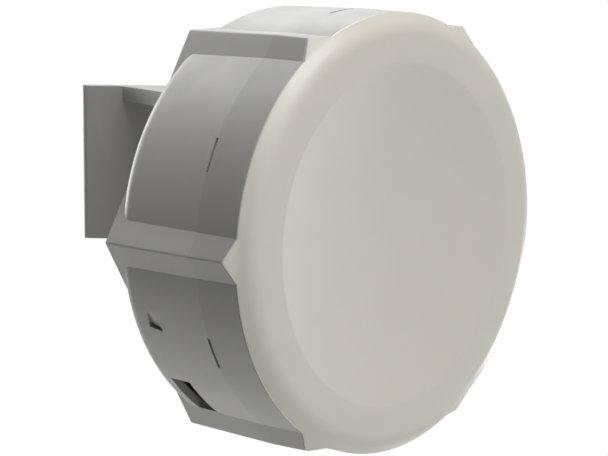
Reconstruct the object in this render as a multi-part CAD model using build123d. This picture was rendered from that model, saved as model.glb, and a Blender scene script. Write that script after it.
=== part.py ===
"""Outdoor wireless antenna unit on a tilting V-jaw pole bracket. Millimetres.

Row frame: the origin is the axis of a standard pole seated in the V jaw, at the middle of the bracket's
height. +Z is up along the pole, +X is to the right seen from the front, and the antenna looks along -Y.
The unit itself is drawn in its own frame, whose origin is on the drum's axis at the radome seam and whose
+Y runs back towards the pole. ROW_SHIFT takes one frame to the other when the parts are written.
"""
from build123d import *
from math import asin, cos, degrees, radians, sin, tan
import os

# ---------------------------------------------------------------- driving dimensions
SHELL_R = 70.0            # curved side panels, at the seam
SHELL_R_PART = 70.3       # at the parting line
SHELL_R_REAR = 69.8       # where they start to round over to the back
CORNER_R = 73.6           # centre to corner of the hexagonal prism, at the seam
CORNER_R_PART = 74.0      # at the parting line
CORNER_R_REAR = 73.5      # at the back plate
CORNER_ROUND = 0.9
PARTING_Y = 16.0          # the side walls have draft both ways from this depth
ROUND_START = 46.2        # depth at which the panels start to round over
DRUM_ROUND = 5.8          # radius of that rounding, outside and inside
DRUM_ROUND_IN = 3.2
DRUM_BACK = ROUND_START + DRUM_ROUND
BACK = 52.8               # rear face of the back plate
BACK_CHAMFER = 0.3
WALL = 2.3                # side walls of the prism
PLATE = 2.4               # back plate
INNER_R = 67.2            # inside of the curved panels
SEAM_GAP = 0.2            # shadow gap between the radome and the housing
TIP_SEAM = 2.3            # how far the seam runs back at a corner

CREASE_R = 54.5           # edge of the dished middle of the radome
RIM_FLAT_R = 63.2         # outer edge of the flat ring round the dish
RIM_ROUND = 7.25          # radius that turns the flat ring over into the rim's bevel
RIM_ANGLE = 45.0          # the bevel's angle from the flat ring
RIM_EDGE = 0.5            # height of the rim's outer edge in front of the seam
EAR_SLOPE = 0.6           # the rim's fall for each millimetre outside the panels, at the corners
FRONT = 4.3               # the flat ring's height in front of the seam
DISH_DEPTH = 5.5
RADOME_T = 2.0

SLOT_FRONT = 15.5         # snap windows in the curved panels
SLOT_REAR = 16.5
SLOT_HALF = 4.4           # degrees
SLOT_ANGLES = (25, 95, 155, 206, 265, 334)   # one for each curved panel
RELEASE_ANGLE = 226.6     # release windows beside the door's panel
RELEASE_HALF = 7.0
RELEASE_FRONT = 35.8
RELEASE_REAR = 44.2
PRY_ANGLE = 199.5
PRY_DEPTH = 1.6
SCREW_ANGLES = (25, 90, 155, 215, 325)       # bosses that carry the reflector pan
SCREW_RING_R = 55.0
PAN_RIM = 8.0             # reflector pan: front of its rim, its face and its back
PAN_FACE = 14.0
PAN_BACK = 15.2

PIVOT_Y = 67.0            # tilt axis, behind the seam
BRACKET_Z = 15.5          # tilt axis, above the drum's axis
EAR_R = 9.0
EAR_IN = 6.0
EAR_OUT = 9.7
CHEEK_IN = 10.0
CHEEK_OUT = 14.0
KNUCKLE_W = 46.0
KNUCKLE_H = 36.0
KNUCKLE_T = 3.2
KNUCKLE_SCREW_X = 18.5
KNUCKLE_SCREW_Z = 12.0    # above and below the tilt axis
GROUND_X = 28.0
GROUND_Z = -37.0
BOLT_R = 3.0              # M6
HEX_AF = 10.0             # across the flats of its head and nut
WASHER_T = 1.2
RUNNING = 0.08            # radial clearance of the ears on the bolt

JAW_ANGLE = 36.0          # each wing's angle from straight back
JAW_TIP_X = 30.2
JAW_TIP_Y = 111.4
JAW_T = 4.5
JAW_TIP_ROUND = 2.1
JAW_HALF_H = 26.0
FLANGE_T = 5.0
FLANGE_FRONT = 70.0
FLANGE_HALF_W = 28.0
WAIST_Y = 100.0           # depth at which the flanges run into the wings
POLE_R = 19.0             # the standard pole that the origin is set by

BOARD_FRONT = 33.4
BOARD_T = 1.6
BOARD_REAR = BOARD_FRONT + BOARD_T
BOARD_HALF_W = 36.0
BOARD_TOP = 40.0
BOARD_BOTTOM = -41.5
BOARD_SCREWS = [(x, z) for x in (-32, 32) for z in (35, -31)]

BAY_HALF_W = 20.0         # cable bay, inside
BAY_TOP = -44.0
BAY_FRONT = 21.5
DOOR_HALF_W = 15.8
DOOR_FRONT = 24.2
DOOR_REAR = 51.8
DOOR_LIP = 1.6
DOOR_INNER_R = 66.9
GROOVE_FRONT = 46.4       # the grooves through the rear wall for the door's flanges
CABLE_HOLE_R = 3.3        # round way out for the cable, between door and back plate
CABLE_HOLE_Z = -61.6
DOOR_TOP = -63.2          # nothing on the door stands above this, so that it clears the prism
PORT_Y = 40.6             # middle of the jack's mouth
RESET_X = 14.0
RESET_Y = 37.6
LED_Z = -22.0
LED_XS = (-30.0, -26.0, -22.0, -18.0, -14.0)

PLUG_X = 20.0
PLUG_Z = 24.2
PATCH = 22.0
PATCH_PITCH = 42.0
LEAD_R = 0.69
LEAD_X = 9.0

M3_R = 1.5

wing = radians(JAW_ANGLE)
jaw_inner_tip_x = JAW_TIP_X - JAW_T * cos(wing)
jaw_inner_tip_y = JAW_TIP_Y + JAW_T * sin(wing)
jaw_apex_y = jaw_inner_tip_y - jaw_inner_tip_x / tan(wing)
POLE_Y = jaw_apex_y + POLE_R / sin(wing)
ROW_SHIFT = Location((0, -POLE_Y, -BRACKET_Z))

FROM_BASE = (Align.CENTER, Align.CENTER, Align.MIN)
parts = {}


# ---------------------------------------------------------------- helpers
def slab(sketch, y_front, y_back):
    """A sketch drawn in X and Z, made solid between two depths."""
    return extrude(Plane.XZ.offset(-y_back) * sketch, amount=y_back - y_front, dir=(0, -1, 0))


def side_slab(sketch, x0, x1):
    """A sketch drawn in Y and Z, made solid between two places along X."""
    return extrude(Plane.YZ.offset(x0) * sketch, amount=x1 - x0, dir=(1, 0, 0))


def upright(sketch, z0, z1):
    """A sketch drawn in X and Y, made solid between two heights."""
    return Pos(0, 0, z0) * extrude(sketch, amount=z1 - z0, dir=(0, 0, 1))


def block(x0, x1, y0, y1, z0, z1):
    size = Box(x1 - x0, y1 - y0, z1 - z0)
    return Pos((x0 + x1) / 2, (y0 + y1) / 2, (z0 + z1) / 2) * size


def disc(x, z, radius, y_front, y_back):
    """A cylinder along Y."""
    return slab(Pos(x, z) * Circle(radius), y_front, y_back)


def rod_x(y, z, radius, x0, x1):
    """A cylinder along X."""
    return Pos(x0, y, z) * Rot(0, 90, 0) * Cylinder(radius, x1 - x0, align=FROM_BASE)


def rod_z(x, y, radius, z0, z1):
    """A cylinder along Z."""
    return Pos(x, y, z0) * Cylinder(radius, z1 - z0, align=FROM_BASE)


def ring(r_in, r_out, y_front, y_back):
    return disc(0, 0, r_out, y_front, y_back) - disc(0, 0, r_in, y_front, y_back)


def sector(angle, half_angle, r_in, r_out, y_front, y_back):
    """A piece of a ring, centred on an angle counted from +X towards +Z."""
    reach = r_out / cos(radians(half_angle)) + 1
    side = reach * tan(radians(half_angle))
    wedge = Polygon((0, 0), (reach, -side), (reach, side), align=None)
    return ring(r_in, r_out, y_front, y_back) & slab(Rot(0, 0, angle) * wedge, y_front, y_back)


def polar(radius, angle):
    return radius * cos(radians(angle)), radius * sin(radians(angle))


def hexagon(corner_r, rounding):
    outline = RegularPolygon(radius=corner_r, side_count=6)
    return fillet(outline.vertices(), rounding)


def prism(front_r, rear_r, y_front, y_back, rounding):
    """A hexagonal prism with draft."""
    front = Plane.XZ.offset(-y_front) * hexagon(front_r, rounding)
    rear = Plane.XZ.offset(-y_back) * hexagon(rear_r, rounding)
    return loft([front, rear])


def revolved(*edges):
    """A closed outline in radius and depth, turned about the drum's axis."""
    outline = make_face(Wire(list(edges)))
    return revolve(outline, Axis.Y, 360)


def both_sides(shape):
    return shape + mirror(shape, Plane.YZ)


def hex_bar(y, z, across_flats, x0, x1):
    outline = RegularPolygon(radius=across_flats / 2, side_count=6, major_radius=False)
    return Pos(x0, y, z) * Rot(0, 90, 0) * extrude(outline, amount=x1 - x0)


def screw(x, z, head_r, shank_r, y_head, y_seat, y_end):
    """A pan-head screw that enters from the front: head, shank and a cross recess."""
    head = disc(x, z, head_r, y_head, y_seat)
    cross = block(x - 1.5, x + 1.5, y_head, y_head + 1, z - 0.35, z + 0.35)
    cross += block(x - 0.35, x + 0.35, y_head, y_head + 1, z - 1.5, z + 1.5)
    return head - cross + disc(x, z, shank_r, y_seat, y_end)


# ---------------------------------------------------------------- casing
def drum_profile(radii, corner, depth_front, depth_back):
    """A drum's outline with a rounded rear edge: radii at the front, the parting line and the rounding."""
    front_r, part_r, rear_r = radii
    start = depth_back - corner
    middle = (rear_r - corner + corner * cos(radians(45)), start + corner * sin(radians(45)))
    return revolved(
        Line((0, depth_front), (front_r, depth_front)),
        Line((front_r, depth_front), (part_r, PARTING_Y)),
        Line((part_r, PARTING_Y), (rear_r, start)),
        ThreePointArc((rear_r, start), middle, (rear_r - corner, depth_back)),
        Line((rear_r - corner, depth_back), (0, depth_back)),
        Line((0, depth_back), (0, depth_front)),
    )


def envelope():
    """The closed outside of drum and prism, before the front is trimmed."""
    drum = drum_profile((SHELL_R, SHELL_R_PART, SHELL_R_REAR), DRUM_ROUND, 0, DRUM_BACK)
    hexa = prism(CORNER_R, CORNER_R_PART, 0, PARTING_Y, CORNER_ROUND)
    edge_y = BACK - BACK_CHAMFER
    edge_r = CORNER_R_REAR - BACK_CHAMFER / cos(radians(30))
    hexa_rear = prism(CORNER_R_PART, CORNER_R_REAR, PARTING_Y, edge_y, CORNER_ROUND)
    hexa_edge = prism(CORNER_R_REAR, edge_r, edge_y, BACK, CORNER_ROUND)
    return drum + hexa + hexa_rear + hexa_edge


def make_rear_housing(outer):
    seam_slope = TIP_SEAM / (CORNER_R - SHELL_R)
    tip_trim = revolved(
        Line((SHELL_R, SEAM_GAP), (SHELL_R + 6, SEAM_GAP + 6 * seam_slope)),
        Line((SHELL_R + 6, SEAM_GAP + 6 * seam_slope), (SHELL_R + 6, -1)),
        Line((SHELL_R + 6, -1), (SHELL_R, -1)),
        Line((SHELL_R, -1), (SHELL_R, SEAM_GAP)),
    )
    body = outer - disc(0, 0, SHELL_R + 0.01, -1, SEAM_GAP) - tip_trim
    corner_wall = WALL / cos(radians(30))
    body -= drum_profile((INNER_R, INNER_R, INNER_R), DRUM_ROUND_IN, -1, DRUM_BACK - WALL)
    part_in = CORNER_R_PART - corner_wall
    body -= prism(CORNER_R - corner_wall, part_in, -1, PARTING_Y, CORNER_ROUND)
    body -= prism(part_in, CORNER_R_REAR - corner_wall, PARTING_Y, BACK - PLATE, CORNER_ROUND)

    # The shelf that the gasket sits on, open where the radome's snap arms pass.
    shelf = ring(62.6, INNER_R + 0.5, 5.5, 7.5)
    for angle in SLOT_ANGLES:
        shelf -= sector(angle, 5.2, 64.9, INNER_R + 0.5, 5.5, 7.5)
    body += shelf

    # Cable bay: a box open downwards, between the radio and the door.
    bay = block(-BAY_HALF_W - 2, BAY_HALF_W + 2, BAY_FRONT - 2, BACK - 1, -75, BAY_TOP + 2)
    bay -= block(-BAY_HALF_W, BAY_HALF_W, BAY_FRONT, BACK - PLATE, -76, BAY_TOP)
    body += bay & (outer - ring(INNER_R + 1, 80, 0, ROUND_START))

    # Bosses for the pan, the board, the knuckle's screws and the earth terminal.
    for angle in SCREW_ANGLES:
        x, z = polar(SCREW_RING_R, angle)
        body += disc(x, z, 3.7, PAN_BACK, BACK - 1)
    for x, z in BOARD_SCREWS:
        body += disc(x, z, 3.5, BOARD_REAR, BACK - 1)
    for x, z in knuckle_centres():
        body += disc(x, z, 4.0, 42, BACK - 1)
    body += disc(GROUND_X, GROUND_Z, 5, 42, BACK - 1)

    for angle in SCREW_ANGLES:
        x, z = polar(SCREW_RING_R, angle)
        body -= disc(x, z, M3_R, 15, 26.5)
    for x, z in BOARD_SCREWS:
        body -= disc(x, z, M3_R, BOARD_REAR - 1, 45)
    for x, z in knuckle_centres():
        body -= disc(x, z, 2.05, 41, BACK + 1)
    body -= disc(GROUND_X, GROUND_Z, 3.0, 43, BACK + 1)

    # Ways through the bay's roof for the jack and the reset plunger.
    body -= block(-8.2, 8.2, BOARD_REAR - 0.4, 48.8, BAY_TOP - 1, BAY_TOP + 3)
    body -= rod_z(RESET_X, RESET_Y, 1.5, BAY_TOP - 1, BAY_TOP + 3)

    # The door's opening, the grooves its flanges run in, and the cable's way out.
    opening = DOOR_HALF_W + 0.3
    body -= block(-opening, opening, DOOR_FRONT - 0.3, BACK + 1, -80, -62.95)
    groove = ring(65.4, INNER_R, GROOVE_FRONT, BACK + 1)
    body -= groove & block(-18.1, 18.1, GROOVE_FRONT, BACK + 1, -80, -62.95)
    body -= disc(0, CABLE_HOLE_Z, CABLE_HOLE_R, DOOR_REAR - 4, BACK + 1)
    body -= block(-CABLE_HOLE_R, CABLE_HOLE_R, DOOR_REAR - 4, BACK + 1, -66, CABLE_HOLE_Z)

    # Snap windows, light windows, and the shallow seat for the knuckle's plate.
    for angle in SLOT_ANGLES:
        body -= sector(angle, SLOT_HALF, INNER_R - 1, SHELL_R + 1, SLOT_FRONT, SLOT_REAR)
    for x in LED_XS:
        body -= disc(x, LED_Z, 1.25, BACK - 4, BACK + 1)

    # A release window beside each lower corner of the door's panel, and a wedge-shaped pry pocket above it.
    for side in (1, -1):
        window_angle = RELEASE_ANGLE if side > 0 else 540 - RELEASE_ANGLE
        body -= sector(window_angle, RELEASE_HALF, INNER_R - 2, SHELL_R + 2, RELEASE_FRONT, RELEASE_REAR)
        body -= Rot(0, -PRY_ANGLE if side > 0 else PRY_ANGLE - 540, 0) * pry_pocket(side)
    return body


def knuckle_centres():
    heights = (BRACKET_Z - KNUCKLE_SCREW_Z, BRACKET_Z + KNUCKLE_SCREW_Z)
    return [(x, z) for x in (-KNUCKLE_SCREW_X, KNUCKLE_SCREW_X) for z in heights]


def pry_pocket(side):
    """The cutter of a pocket that deepens from its upper front edge to its lower rear corner."""
    skin = SHELL_R - 0.05
    top_rear = (41.2, -3.5)
    low_rear = (42.1, 2.9)
    low_front = (36.5, 3.8)
    top_front = (36.7, -0.9)
    outline = Polygon(top_rear, low_rear, low_front, top_front, align=None)
    cutter = side_slab(outline, skin - 4, skin + 3)
    edge_start = Vector(skin, *top_rear)
    edge_end = Vector(skin, *top_front)
    deepest = Vector(skin - PRY_DEPTH, *low_rear)
    floor = Plane(origin=edge_start, z_dir=(edge_end - edge_start).cross(deepest - edge_start))
    outer_side = Keep.TOP if floor.z_dir.X > 0 else Keep.BOTTOM
    cutter = split(cutter, floor, keep=outer_side)
    return cutter if side > 0 else mirror(cutter, Plane.XY)


def rim_arc(radius):
    """Start, middle and end of the arc between the flat ring and the bevel, as radius and depth."""
    points = []
    for turn in (0, RIM_ANGLE / 2, RIM_ANGLE):
        r = RIM_FLAT_R + radius * sin(radians(turn))
        points.append((r, RIM_ROUND - FRONT - radius * cos(radians(turn))))
    return points


def make_radome():
    dish_r = (CREASE_R ** 2 + DISH_DEPTH ** 2) / (2 * DISH_DEPTH)
    seam_slope = TIP_SEAM / (CORNER_R - SHELL_R)
    reach = 76.0
    reach_front = -RIM_EDGE + EAR_SLOPE * (reach - SHELL_R)
    reach_back = seam_slope * (reach - SHELL_R)

    crease = (CREASE_R, -FRONT)
    dish_mid_r = CREASE_R / 2
    dish_mid = (dish_mid_r, -FRONT + DISH_DEPTH - (dish_r - (dish_r ** 2 - dish_mid_r ** 2) ** 0.5))
    outer_arc = rim_arc(RIM_ROUND)
    inner_arc = rim_arc(RIM_ROUND - RADOME_T)
    inner_end = inner_arc[2]
    inner_r = inner_end[0] - inner_end[1] / tan(radians(RIM_ANGLE))
    inner_y = -FRONT + RADOME_T
    skin = revolved(
        ThreePointArc((0, -FRONT + DISH_DEPTH), dish_mid, crease),
        Line(crease, outer_arc[0]),
        ThreePointArc(*outer_arc),
        Line(outer_arc[2], (SHELL_R, -RIM_EDGE)),
        Line((SHELL_R, -RIM_EDGE), (reach, reach_front)),
        Line((reach, reach_front), (reach, reach_back)),
        Line((reach, reach_back), (SHELL_R, 0)),
        Line((SHELL_R, 0), (inner_r, 0)),
        Line((inner_r, 0), inner_end),
        ThreePointArc(inner_arc[2], inner_arc[1], inner_arc[0]),
        Line((RIM_FLAT_R, inner_y), (CREASE_R, inner_y)),
        ThreePointArc((CREASE_R, inner_y), (dish_mid_r, dish_mid[1] + RADOME_T), (0, inner_y + DISH_DEPTH)),
        Line((0, inner_y + DISH_DEPTH), (0, -FRONT + DISH_DEPTH)),
    )
    outline = disc(0, 0, SHELL_R, -10, 6) + slab(hexagon(CORNER_R, CORNER_ROUND), -10, 6)
    radome = skin & outline
    radome += ring(63.8, 65.5, -2.0, 4.2) & disc(0, 0, 66, -2.4, 5)
    for angle in SLOT_ANGLES:
        arm = sector(angle, SLOT_HALF - 0.6, 65.4, 66.9, -1.5, 17.2)
        hook = sector(angle, SLOT_HALF - 0.6, 66.5, 68.3, SLOT_FRONT + 0.15, SLOT_REAR - 0.15)
        radome += arm + hook
    return radome


def make_cable_door(outer):
    skin = outer & block(-DOOR_HALF_W, DOOR_HALF_W, DOOR_FRONT, DOOR_REAR, -80, DOOR_TOP)
    skin -= disc(0, 0, DOOR_INNER_R, 0, DOOR_REAR - DOOR_LIP)
    flange = ring(65.7, DOOR_INNER_R + 0.05, DOOR_FRONT - 2.0, DRUM_BACK - WALL - 0.3)
    flange &= block(-17.8, 17.8, 0, 60, -80, DOOR_TOP)
    flange -= block(-14.0, 14.0, DOOR_FRONT + 1.5, 60, -80, 0)
    door = skin + flange
    door -= disc(0, CABLE_HOLE_Z, CABLE_HOLE_R, DOOR_REAR - 3, DOOR_REAR + 1)
    grips = block(-9, 9, 42.0, 42.8, -80, -60)
    grips += block(-9, 9, 39.6, 40.4, -80, -60)
    grips += block(-9, 9, 37.2, 38.0, -80, -60)
    return door - (grips - disc(0, 0, SHELL_R_REAR - 0.55, 30, 50))


# ---------------------------------------------------------------- antenna stack
def make_reflector_pan():
    pan = disc(0, 0, 60, PAN_RIM, PAN_BACK) - disc(0, 0, 58.8, PAN_RIM - 1, PAN_FACE)
    for angle in SCREW_ANGLES:
        x, z = polar(SCREW_RING_R, angle)
        pan -= disc(x, z, 1.7, 13, 16)
    for x in (-LEAD_X, LEAD_X):
        pan -= disc(x, 0, 3, 13, 16)
    return pan


def make_feed_board():
    board = disc(0, 0, 58.2, PAN_FACE - BOARD_T, PAN_FACE)
    for angle in SCREW_ANGLES:
        x, z = polar(SCREW_RING_R, angle)
        board -= disc(x, z, 1.7, 12, 15)
    return board


def patch_centres():
    half = PATCH_PITCH / 2
    return [(-half, half), (half, half), (-half, -half), (half, -half)]


def make_patch(x, z):
    plate = slab(Pos(x, z) * RectangleRounded(PATCH, PATCH, 1.0), 7.6, 8.4)
    return plate - disc(x, z, 1.5, 7, 9)


def make_patch_posts():
    posts = []
    for x, z in patch_centres():
        post = disc(x, z, 3.0, 8.4, 12.4) + disc(x, z, 1.4, 7.6, 8.4) + disc(x, z, 2.6, 6.6, 7.6)
        posts.append(post)
    return Compound(children=[post.solid() for post in posts])


def make_screw_set(centres, head_r, shank_r, y_head, y_seat, y_end):
    screws = [screw(x, z, head_r, shank_r, y_head, y_seat, y_end).solid() for x, z in centres]
    return Compound(children=screws)


# ---------------------------------------------------------------- radio
def make_main_board():
    board = block(-BOARD_HALF_W, BOARD_HALF_W, BOARD_FRONT, BOARD_REAR, BOARD_BOTTOM, BOARD_TOP)
    board = fillet(board.edges().filter_by(Axis.Y), 2.0)
    for x, z in BOARD_SCREWS:
        board -= disc(x, z, 1.7, BOARD_FRONT - 1, BOARD_REAR + 1)
    return board


def make_ethernet_jack():
    jack = block(-8, 8, BOARD_REAR, BOARD_REAR + 13.4, -46, -30)
    jack -= block(-5.9, 5.9, PORT_Y - 3.4, PORT_Y + 3.4, -47, -33.5)
    jack -= block(-3.1, 3.1, PORT_Y + 3.0, PORT_Y + 6.0, -47, -33.5)
    return jack


def make_jack_contacts():
    pitch = 1.02
    contacts = []
    for number in range(8):
        x = (number - 3.5) * pitch
        contacts.append(block(x - 0.2, x + 0.2, PORT_Y - 3.4, PORT_Y - 2.9, -44.5, -34.0).solid())
    return Compound(children=contacts)


def make_heat_sink():
    y_base = BOARD_REAR + 1.9
    sink = block(-10, 10, y_base, y_base + 7, 5, 25)
    for number in range(6):
        x = -8.6 + number * 3.2
        sink -= block(x, x + 1.6, y_base + 1.6, y_base + 8, 4, 26)
    return sink


def make_shield_can():
    can = block(-31, -11.5, BOARD_REAR, BOARD_REAR + 3.6, -14, 22)
    can = fillet(can.edges().filter_by(Axis.Y), 1.0)
    return can - block(-30.7, -11.8, BOARD_REAR - 1, BOARD_REAR + 3.3, -13.7, 21.7)


def make_status_leds():
    leds = []
    for x in LED_XS:
        led = block(x - 0.8, x + 0.8, BOARD_REAR, BOARD_REAR + 0.6, LED_Z - 0.5, LED_Z + 0.5)
        leds.append(led.solid())
    return Compound(children=leds)


def make_light_guide():
    guide = block(LED_XS[0] - 2, LED_XS[-1] + 2, BACK - PLATE - 2, BACK - PLATE, LED_Z - 1.6, LED_Z + 1.6)
    for x in LED_XS:
        guide += disc(x, LED_Z, 1.15, BOARD_REAR + 0.9, BACK)
    return guide


def make_reset_plunger():
    plunger = rod_z(RESET_X, RESET_Y, 1.2, BAY_TOP - 2.5, BAY_TOP + 2.3)
    plunger += rod_z(RESET_X, RESET_Y, 2.1, BAY_TOP + 2.3, BAY_TOP + 3.1)
    plunger += rod_z(RESET_X, RESET_Y, 1.0, BAY_TOP + 3.1, BAY_TOP + 3.9)
    return plunger


def lead_route(side):
    """Centre line of a coaxial lead, from its plug on the radio board to the feed board."""
    return [
        (side * PLUG_X, 31.6, 21.6),
        (side * PLUG_X, 31.6, 13.0),
        (side * 17.5, 31.4, 5.0),
        (side * 12.0, 28.5, 0.0),
        (side * LEAD_X, 22.0, 0.0),
        (side * LEAD_X, 14.0, 0.0),
    ]


def make_lead(side):
    points = [Vector(*point) for point in lead_route(side)]
    radii = []
    for before, corner, after in zip(points, points[1:], points[2:]):
        run_in = corner - before
        run_out = after - corner
        turn = radians(run_in.get_angle(run_out))
        radii.append(0.45 * min(run_in.length, run_out.length) / tan(turn / 2))
    print("lead bend radii", [round(radius, 1) for radius in radii])
    route = FilletPolyline(*points, radius=radii)
    start = Plane(origin=points[0], z_dir=points[1] - points[0])
    lead = sweep(start * Circle(LEAD_R), path=route)
    section = 3.14159 * LEAD_R ** 2
    print("lead length", round(route.length, 1), "volume over section x length",
          round(lead.volume / (section * route.length), 3))
    return lead


def make_lead_plug(side):
    x = side * PLUG_X
    plug = disc(x, PLUG_Z, 1.9, 30.6, BOARD_FRONT)
    plug += rod_z(x, 31.6, 1.0, 21.6, PLUG_Z)
    return plug


# ---------------------------------------------------------------- bracket
def make_knuckle():
    """The plate on the housing's back, with the two ears that turn on the pivot bolt."""
    plate = slab(Pos(0, BRACKET_Z) * RectangleRounded(KNUCKLE_W, KNUCKLE_H, 4), BACK, BACK + KNUCKLE_T)
    knuckle = plate
    for side in (-1, 1):
        x0, x1 = sorted((side * EAR_IN, side * EAR_OUT))
        ear = rod_x(PIVOT_Y, BRACKET_Z, EAR_R, x0, x1)
        ear += block(x0, x1, BACK + 2, PIVOT_Y, BRACKET_Z - EAR_R, BRACKET_Z + EAR_R)
        knuckle += ear
    rib = Polygon((BACK + 3, 16), (BACK + 3, EAR_R - 0.5), (PIVOT_Y - 6, EAR_R - 0.5), align=None)
    ribs = Pos(0, BRACKET_Z) * (rib + mirror(rib, Plane.XZ))
    for x0 in (-EAR_OUT, EAR_IN):
        knuckle += side_slab(ribs, x0, x0 + EAR_OUT - EAR_IN)
    knuckle -= rod_x(PIVOT_Y, BRACKET_Z, BOLT_R + RUNNING, -20, 20)
    for x, z in knuckle_centres():
        knuckle -= disc(x, z, 2.2, BACK - 1, BACK + 4)
    return knuckle


def wing_profile():
    """The V of the jaw in plan, with a flat bottom and rounded tips."""
    flat_y = 77.0
    flat_x = JAW_TIP_X - (JAW_TIP_Y - flat_y) * tan(wing)
    inner_flat_y = flat_y + JAW_T
    inner_flat_x = jaw_inner_tip_x - (jaw_inner_tip_y - inner_flat_y) * tan(wing)
    right = [(JAW_TIP_X, JAW_TIP_Y), (jaw_inner_tip_x, jaw_inner_tip_y), (inner_flat_x, inner_flat_y)]
    left = [(-inner_flat_x, inner_flat_y), (-jaw_inner_tip_x, jaw_inner_tip_y), (-JAW_TIP_X, JAW_TIP_Y)]
    outline = Polygon(*right, *left, (-flat_x, flat_y), (flat_x, flat_y), align=None)
    tips = [v for v in outline.vertices() if v.Y > JAW_TIP_Y - 1]
    outline = fillet(tips, JAW_TIP_ROUND)
    elbows = [v for v in outline.vertices() if v.Y < inner_flat_y + 1]
    return fillet(elbows, 2.0)


def flange_profile():
    """The top and bottom flanges in plan: waisted sides that run into the wings."""
    waist_x = JAW_TIP_X - (JAW_TIP_Y - WAIST_Y) * tan(wing)
    right_front = (FLANGE_HALF_W, FLANGE_FRONT)
    left_front = (-FLANGE_HALF_W, FLANGE_FRONT)
    edges = [
        Line(left_front, right_front),
        ThreePointArc(right_front, (24.8, 84), (waist_x, WAIST_Y)),
        Line((waist_x, WAIST_Y), (4.0, 79.0)),
        Line((4.0, 79.0), (-4.0, 79.0)),
        Line((-4.0, 79.0), (-waist_x, WAIST_Y)),
        ThreePointArc((-waist_x, WAIST_Y), (-24.8, 84), left_front),
    ]
    return make_face(Wire(edges))


def make_yoke():
    low = BRACKET_Z - JAW_HALF_H
    high = BRACKET_Z + JAW_HALF_H
    yoke = upright(wing_profile(), low, high)
    yoke += upright(flange_profile(), low, low + FLANGE_T)
    yoke += upright(flange_profile(), high - FLANGE_T, high)

    # Two cheeks carry the bolt. Each is the hull of its eye and of the flanges' front edges.
    reach = (FLANGE_FRONT - PIVOT_Y, JAW_HALF_H)
    distance = (reach[0] ** 2 + reach[1] ** 2) ** 0.5
    lean = degrees(asin(reach[0] / distance)) + degrees(asin(EAR_R / distance))
    touch = (-EAR_R * cos(radians(lean)), EAR_R * sin(radians(lean)))
    side_view = Polygon(
        (touch[0], touch[1]), (reach[0], reach[1]), (24, reach[1]),
        (24, -reach[1]), (reach[0], -reach[1]), (touch[0], -touch[1]), align=None,
    )
    window = Polygon((2.5, 11), (2.9, 20), (12, 20), (12, 11), align=None)
    side_view = side_view + Circle(EAR_R) - window - mirror(window, Plane.XZ)
    cheek_trim = Polygon((CHEEK_IN, 50), (CHEEK_OUT, 50), (CHEEK_OUT, 90.5), (CHEEK_IN, 85.0), align=None)
    cheek = side_slab(Pos(PIVOT_Y, BRACKET_Z) * side_view, CHEEK_IN, CHEEK_OUT)
    yoke += both_sides(cheek & upright(cheek_trim, low, high))
    yoke -= rod_x(PIVOT_Y, BRACKET_Z, BOLT_R + 0.1, -20, 20)
    return yoke


def make_pivot_bolt():
    seat_x = -CHEEK_OUT - WASHER_T
    bolt = rod_x(PIVOT_Y, BRACKET_Z, BOLT_R, seat_x, 23.0)
    head = hex_bar(PIVOT_Y, BRACKET_Z, HEX_AF, seat_x - 4.0, seat_x)
    return bolt + head


def make_pivot_washers():
    washers = []
    for x0 in (-CHEEK_OUT - WASHER_T, CHEEK_OUT):
        washer = rod_x(PIVOT_Y, BRACKET_Z, 6.0, x0, x0 + WASHER_T)
        washer -= rod_x(PIVOT_Y, BRACKET_Z, BOLT_R + 0.2, x0 - 1, x0 + 3)
        washers.append(washer.solid())
    return Compound(children=washers)


def make_pivot_nut():
    seat_x = CHEEK_OUT + WASHER_T
    nut = hex_bar(PIVOT_Y, BRACKET_Z, HEX_AF, seat_x, seat_x + 4.8)
    nut += rod_x(PIVOT_Y, BRACKET_Z, 4.4, seat_x + 4.8, seat_x + 6.0)
    return nut - rod_x(PIVOT_Y, BRACKET_Z, BOLT_R + 0.02, 14, 22)


def knuckle_screw(x, z):
    """A pan-head screw that enters from behind."""
    seat = BACK + KNUCKLE_T
    head = disc(x, z, 3.4, seat, seat + 2.2)
    slot = block(x - 2.4, x + 2.4, seat + 1.2, seat + 3, z - 0.5, z + 0.5)
    slot += block(x - 0.5, x + 0.5, seat + 1.2, seat + 3, z - 2.4, z + 2.4)
    return (head - slot + disc(x, z, 2.0, BACK - 9, seat)).solid()


def make_ground_insert():
    insert = disc(GROUND_X, GROUND_Z, 3.0, BACK - 8, BACK + 0.1)
    return insert - disc(GROUND_X, GROUND_Z, 2.0, BACK - 9, BACK + 1)


def make_ground_screw():
    x, z = GROUND_X, GROUND_Z
    head = disc(x, z, 4.2, BACK + 1.0, BACK + 3.6)
    head -= block(x - 3, x + 3, BACK + 2.6, BACK + 4, z - 0.6, z + 0.6)
    washer = disc(x, z, 4.9, BACK + 0.1, BACK + 1.0)
    return head + washer + disc(x, z, 1.95, BACK - 7, BACK + 1.0)


# ---------------------------------------------------------------- assembly
shell = envelope()
parts["rear_housing"] = make_rear_housing(shell)
parts["front_radome"] = make_radome()
parts["radome_gasket"] = ring(63.3, 65.3, 4.2, 5.5)
parts["cable_door"] = make_cable_door(shell)
parts["light_guide"] = make_light_guide()

parts["reflector_pan"] = make_reflector_pan()
parts["feed_board"] = make_feed_board()
for number, centre in enumerate(patch_centres(), start=1):
    parts[f"patch_plate_{number}"] = make_patch(*centre)
parts["patch_posts"] = make_patch_posts()
pan_centres = [polar(SCREW_RING_R, angle) for angle in SCREW_ANGLES]
parts["reflector_screws"] = make_screw_set(pan_centres, 2.9, 1.45, 10.2, 12.4, 26.0)

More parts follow.
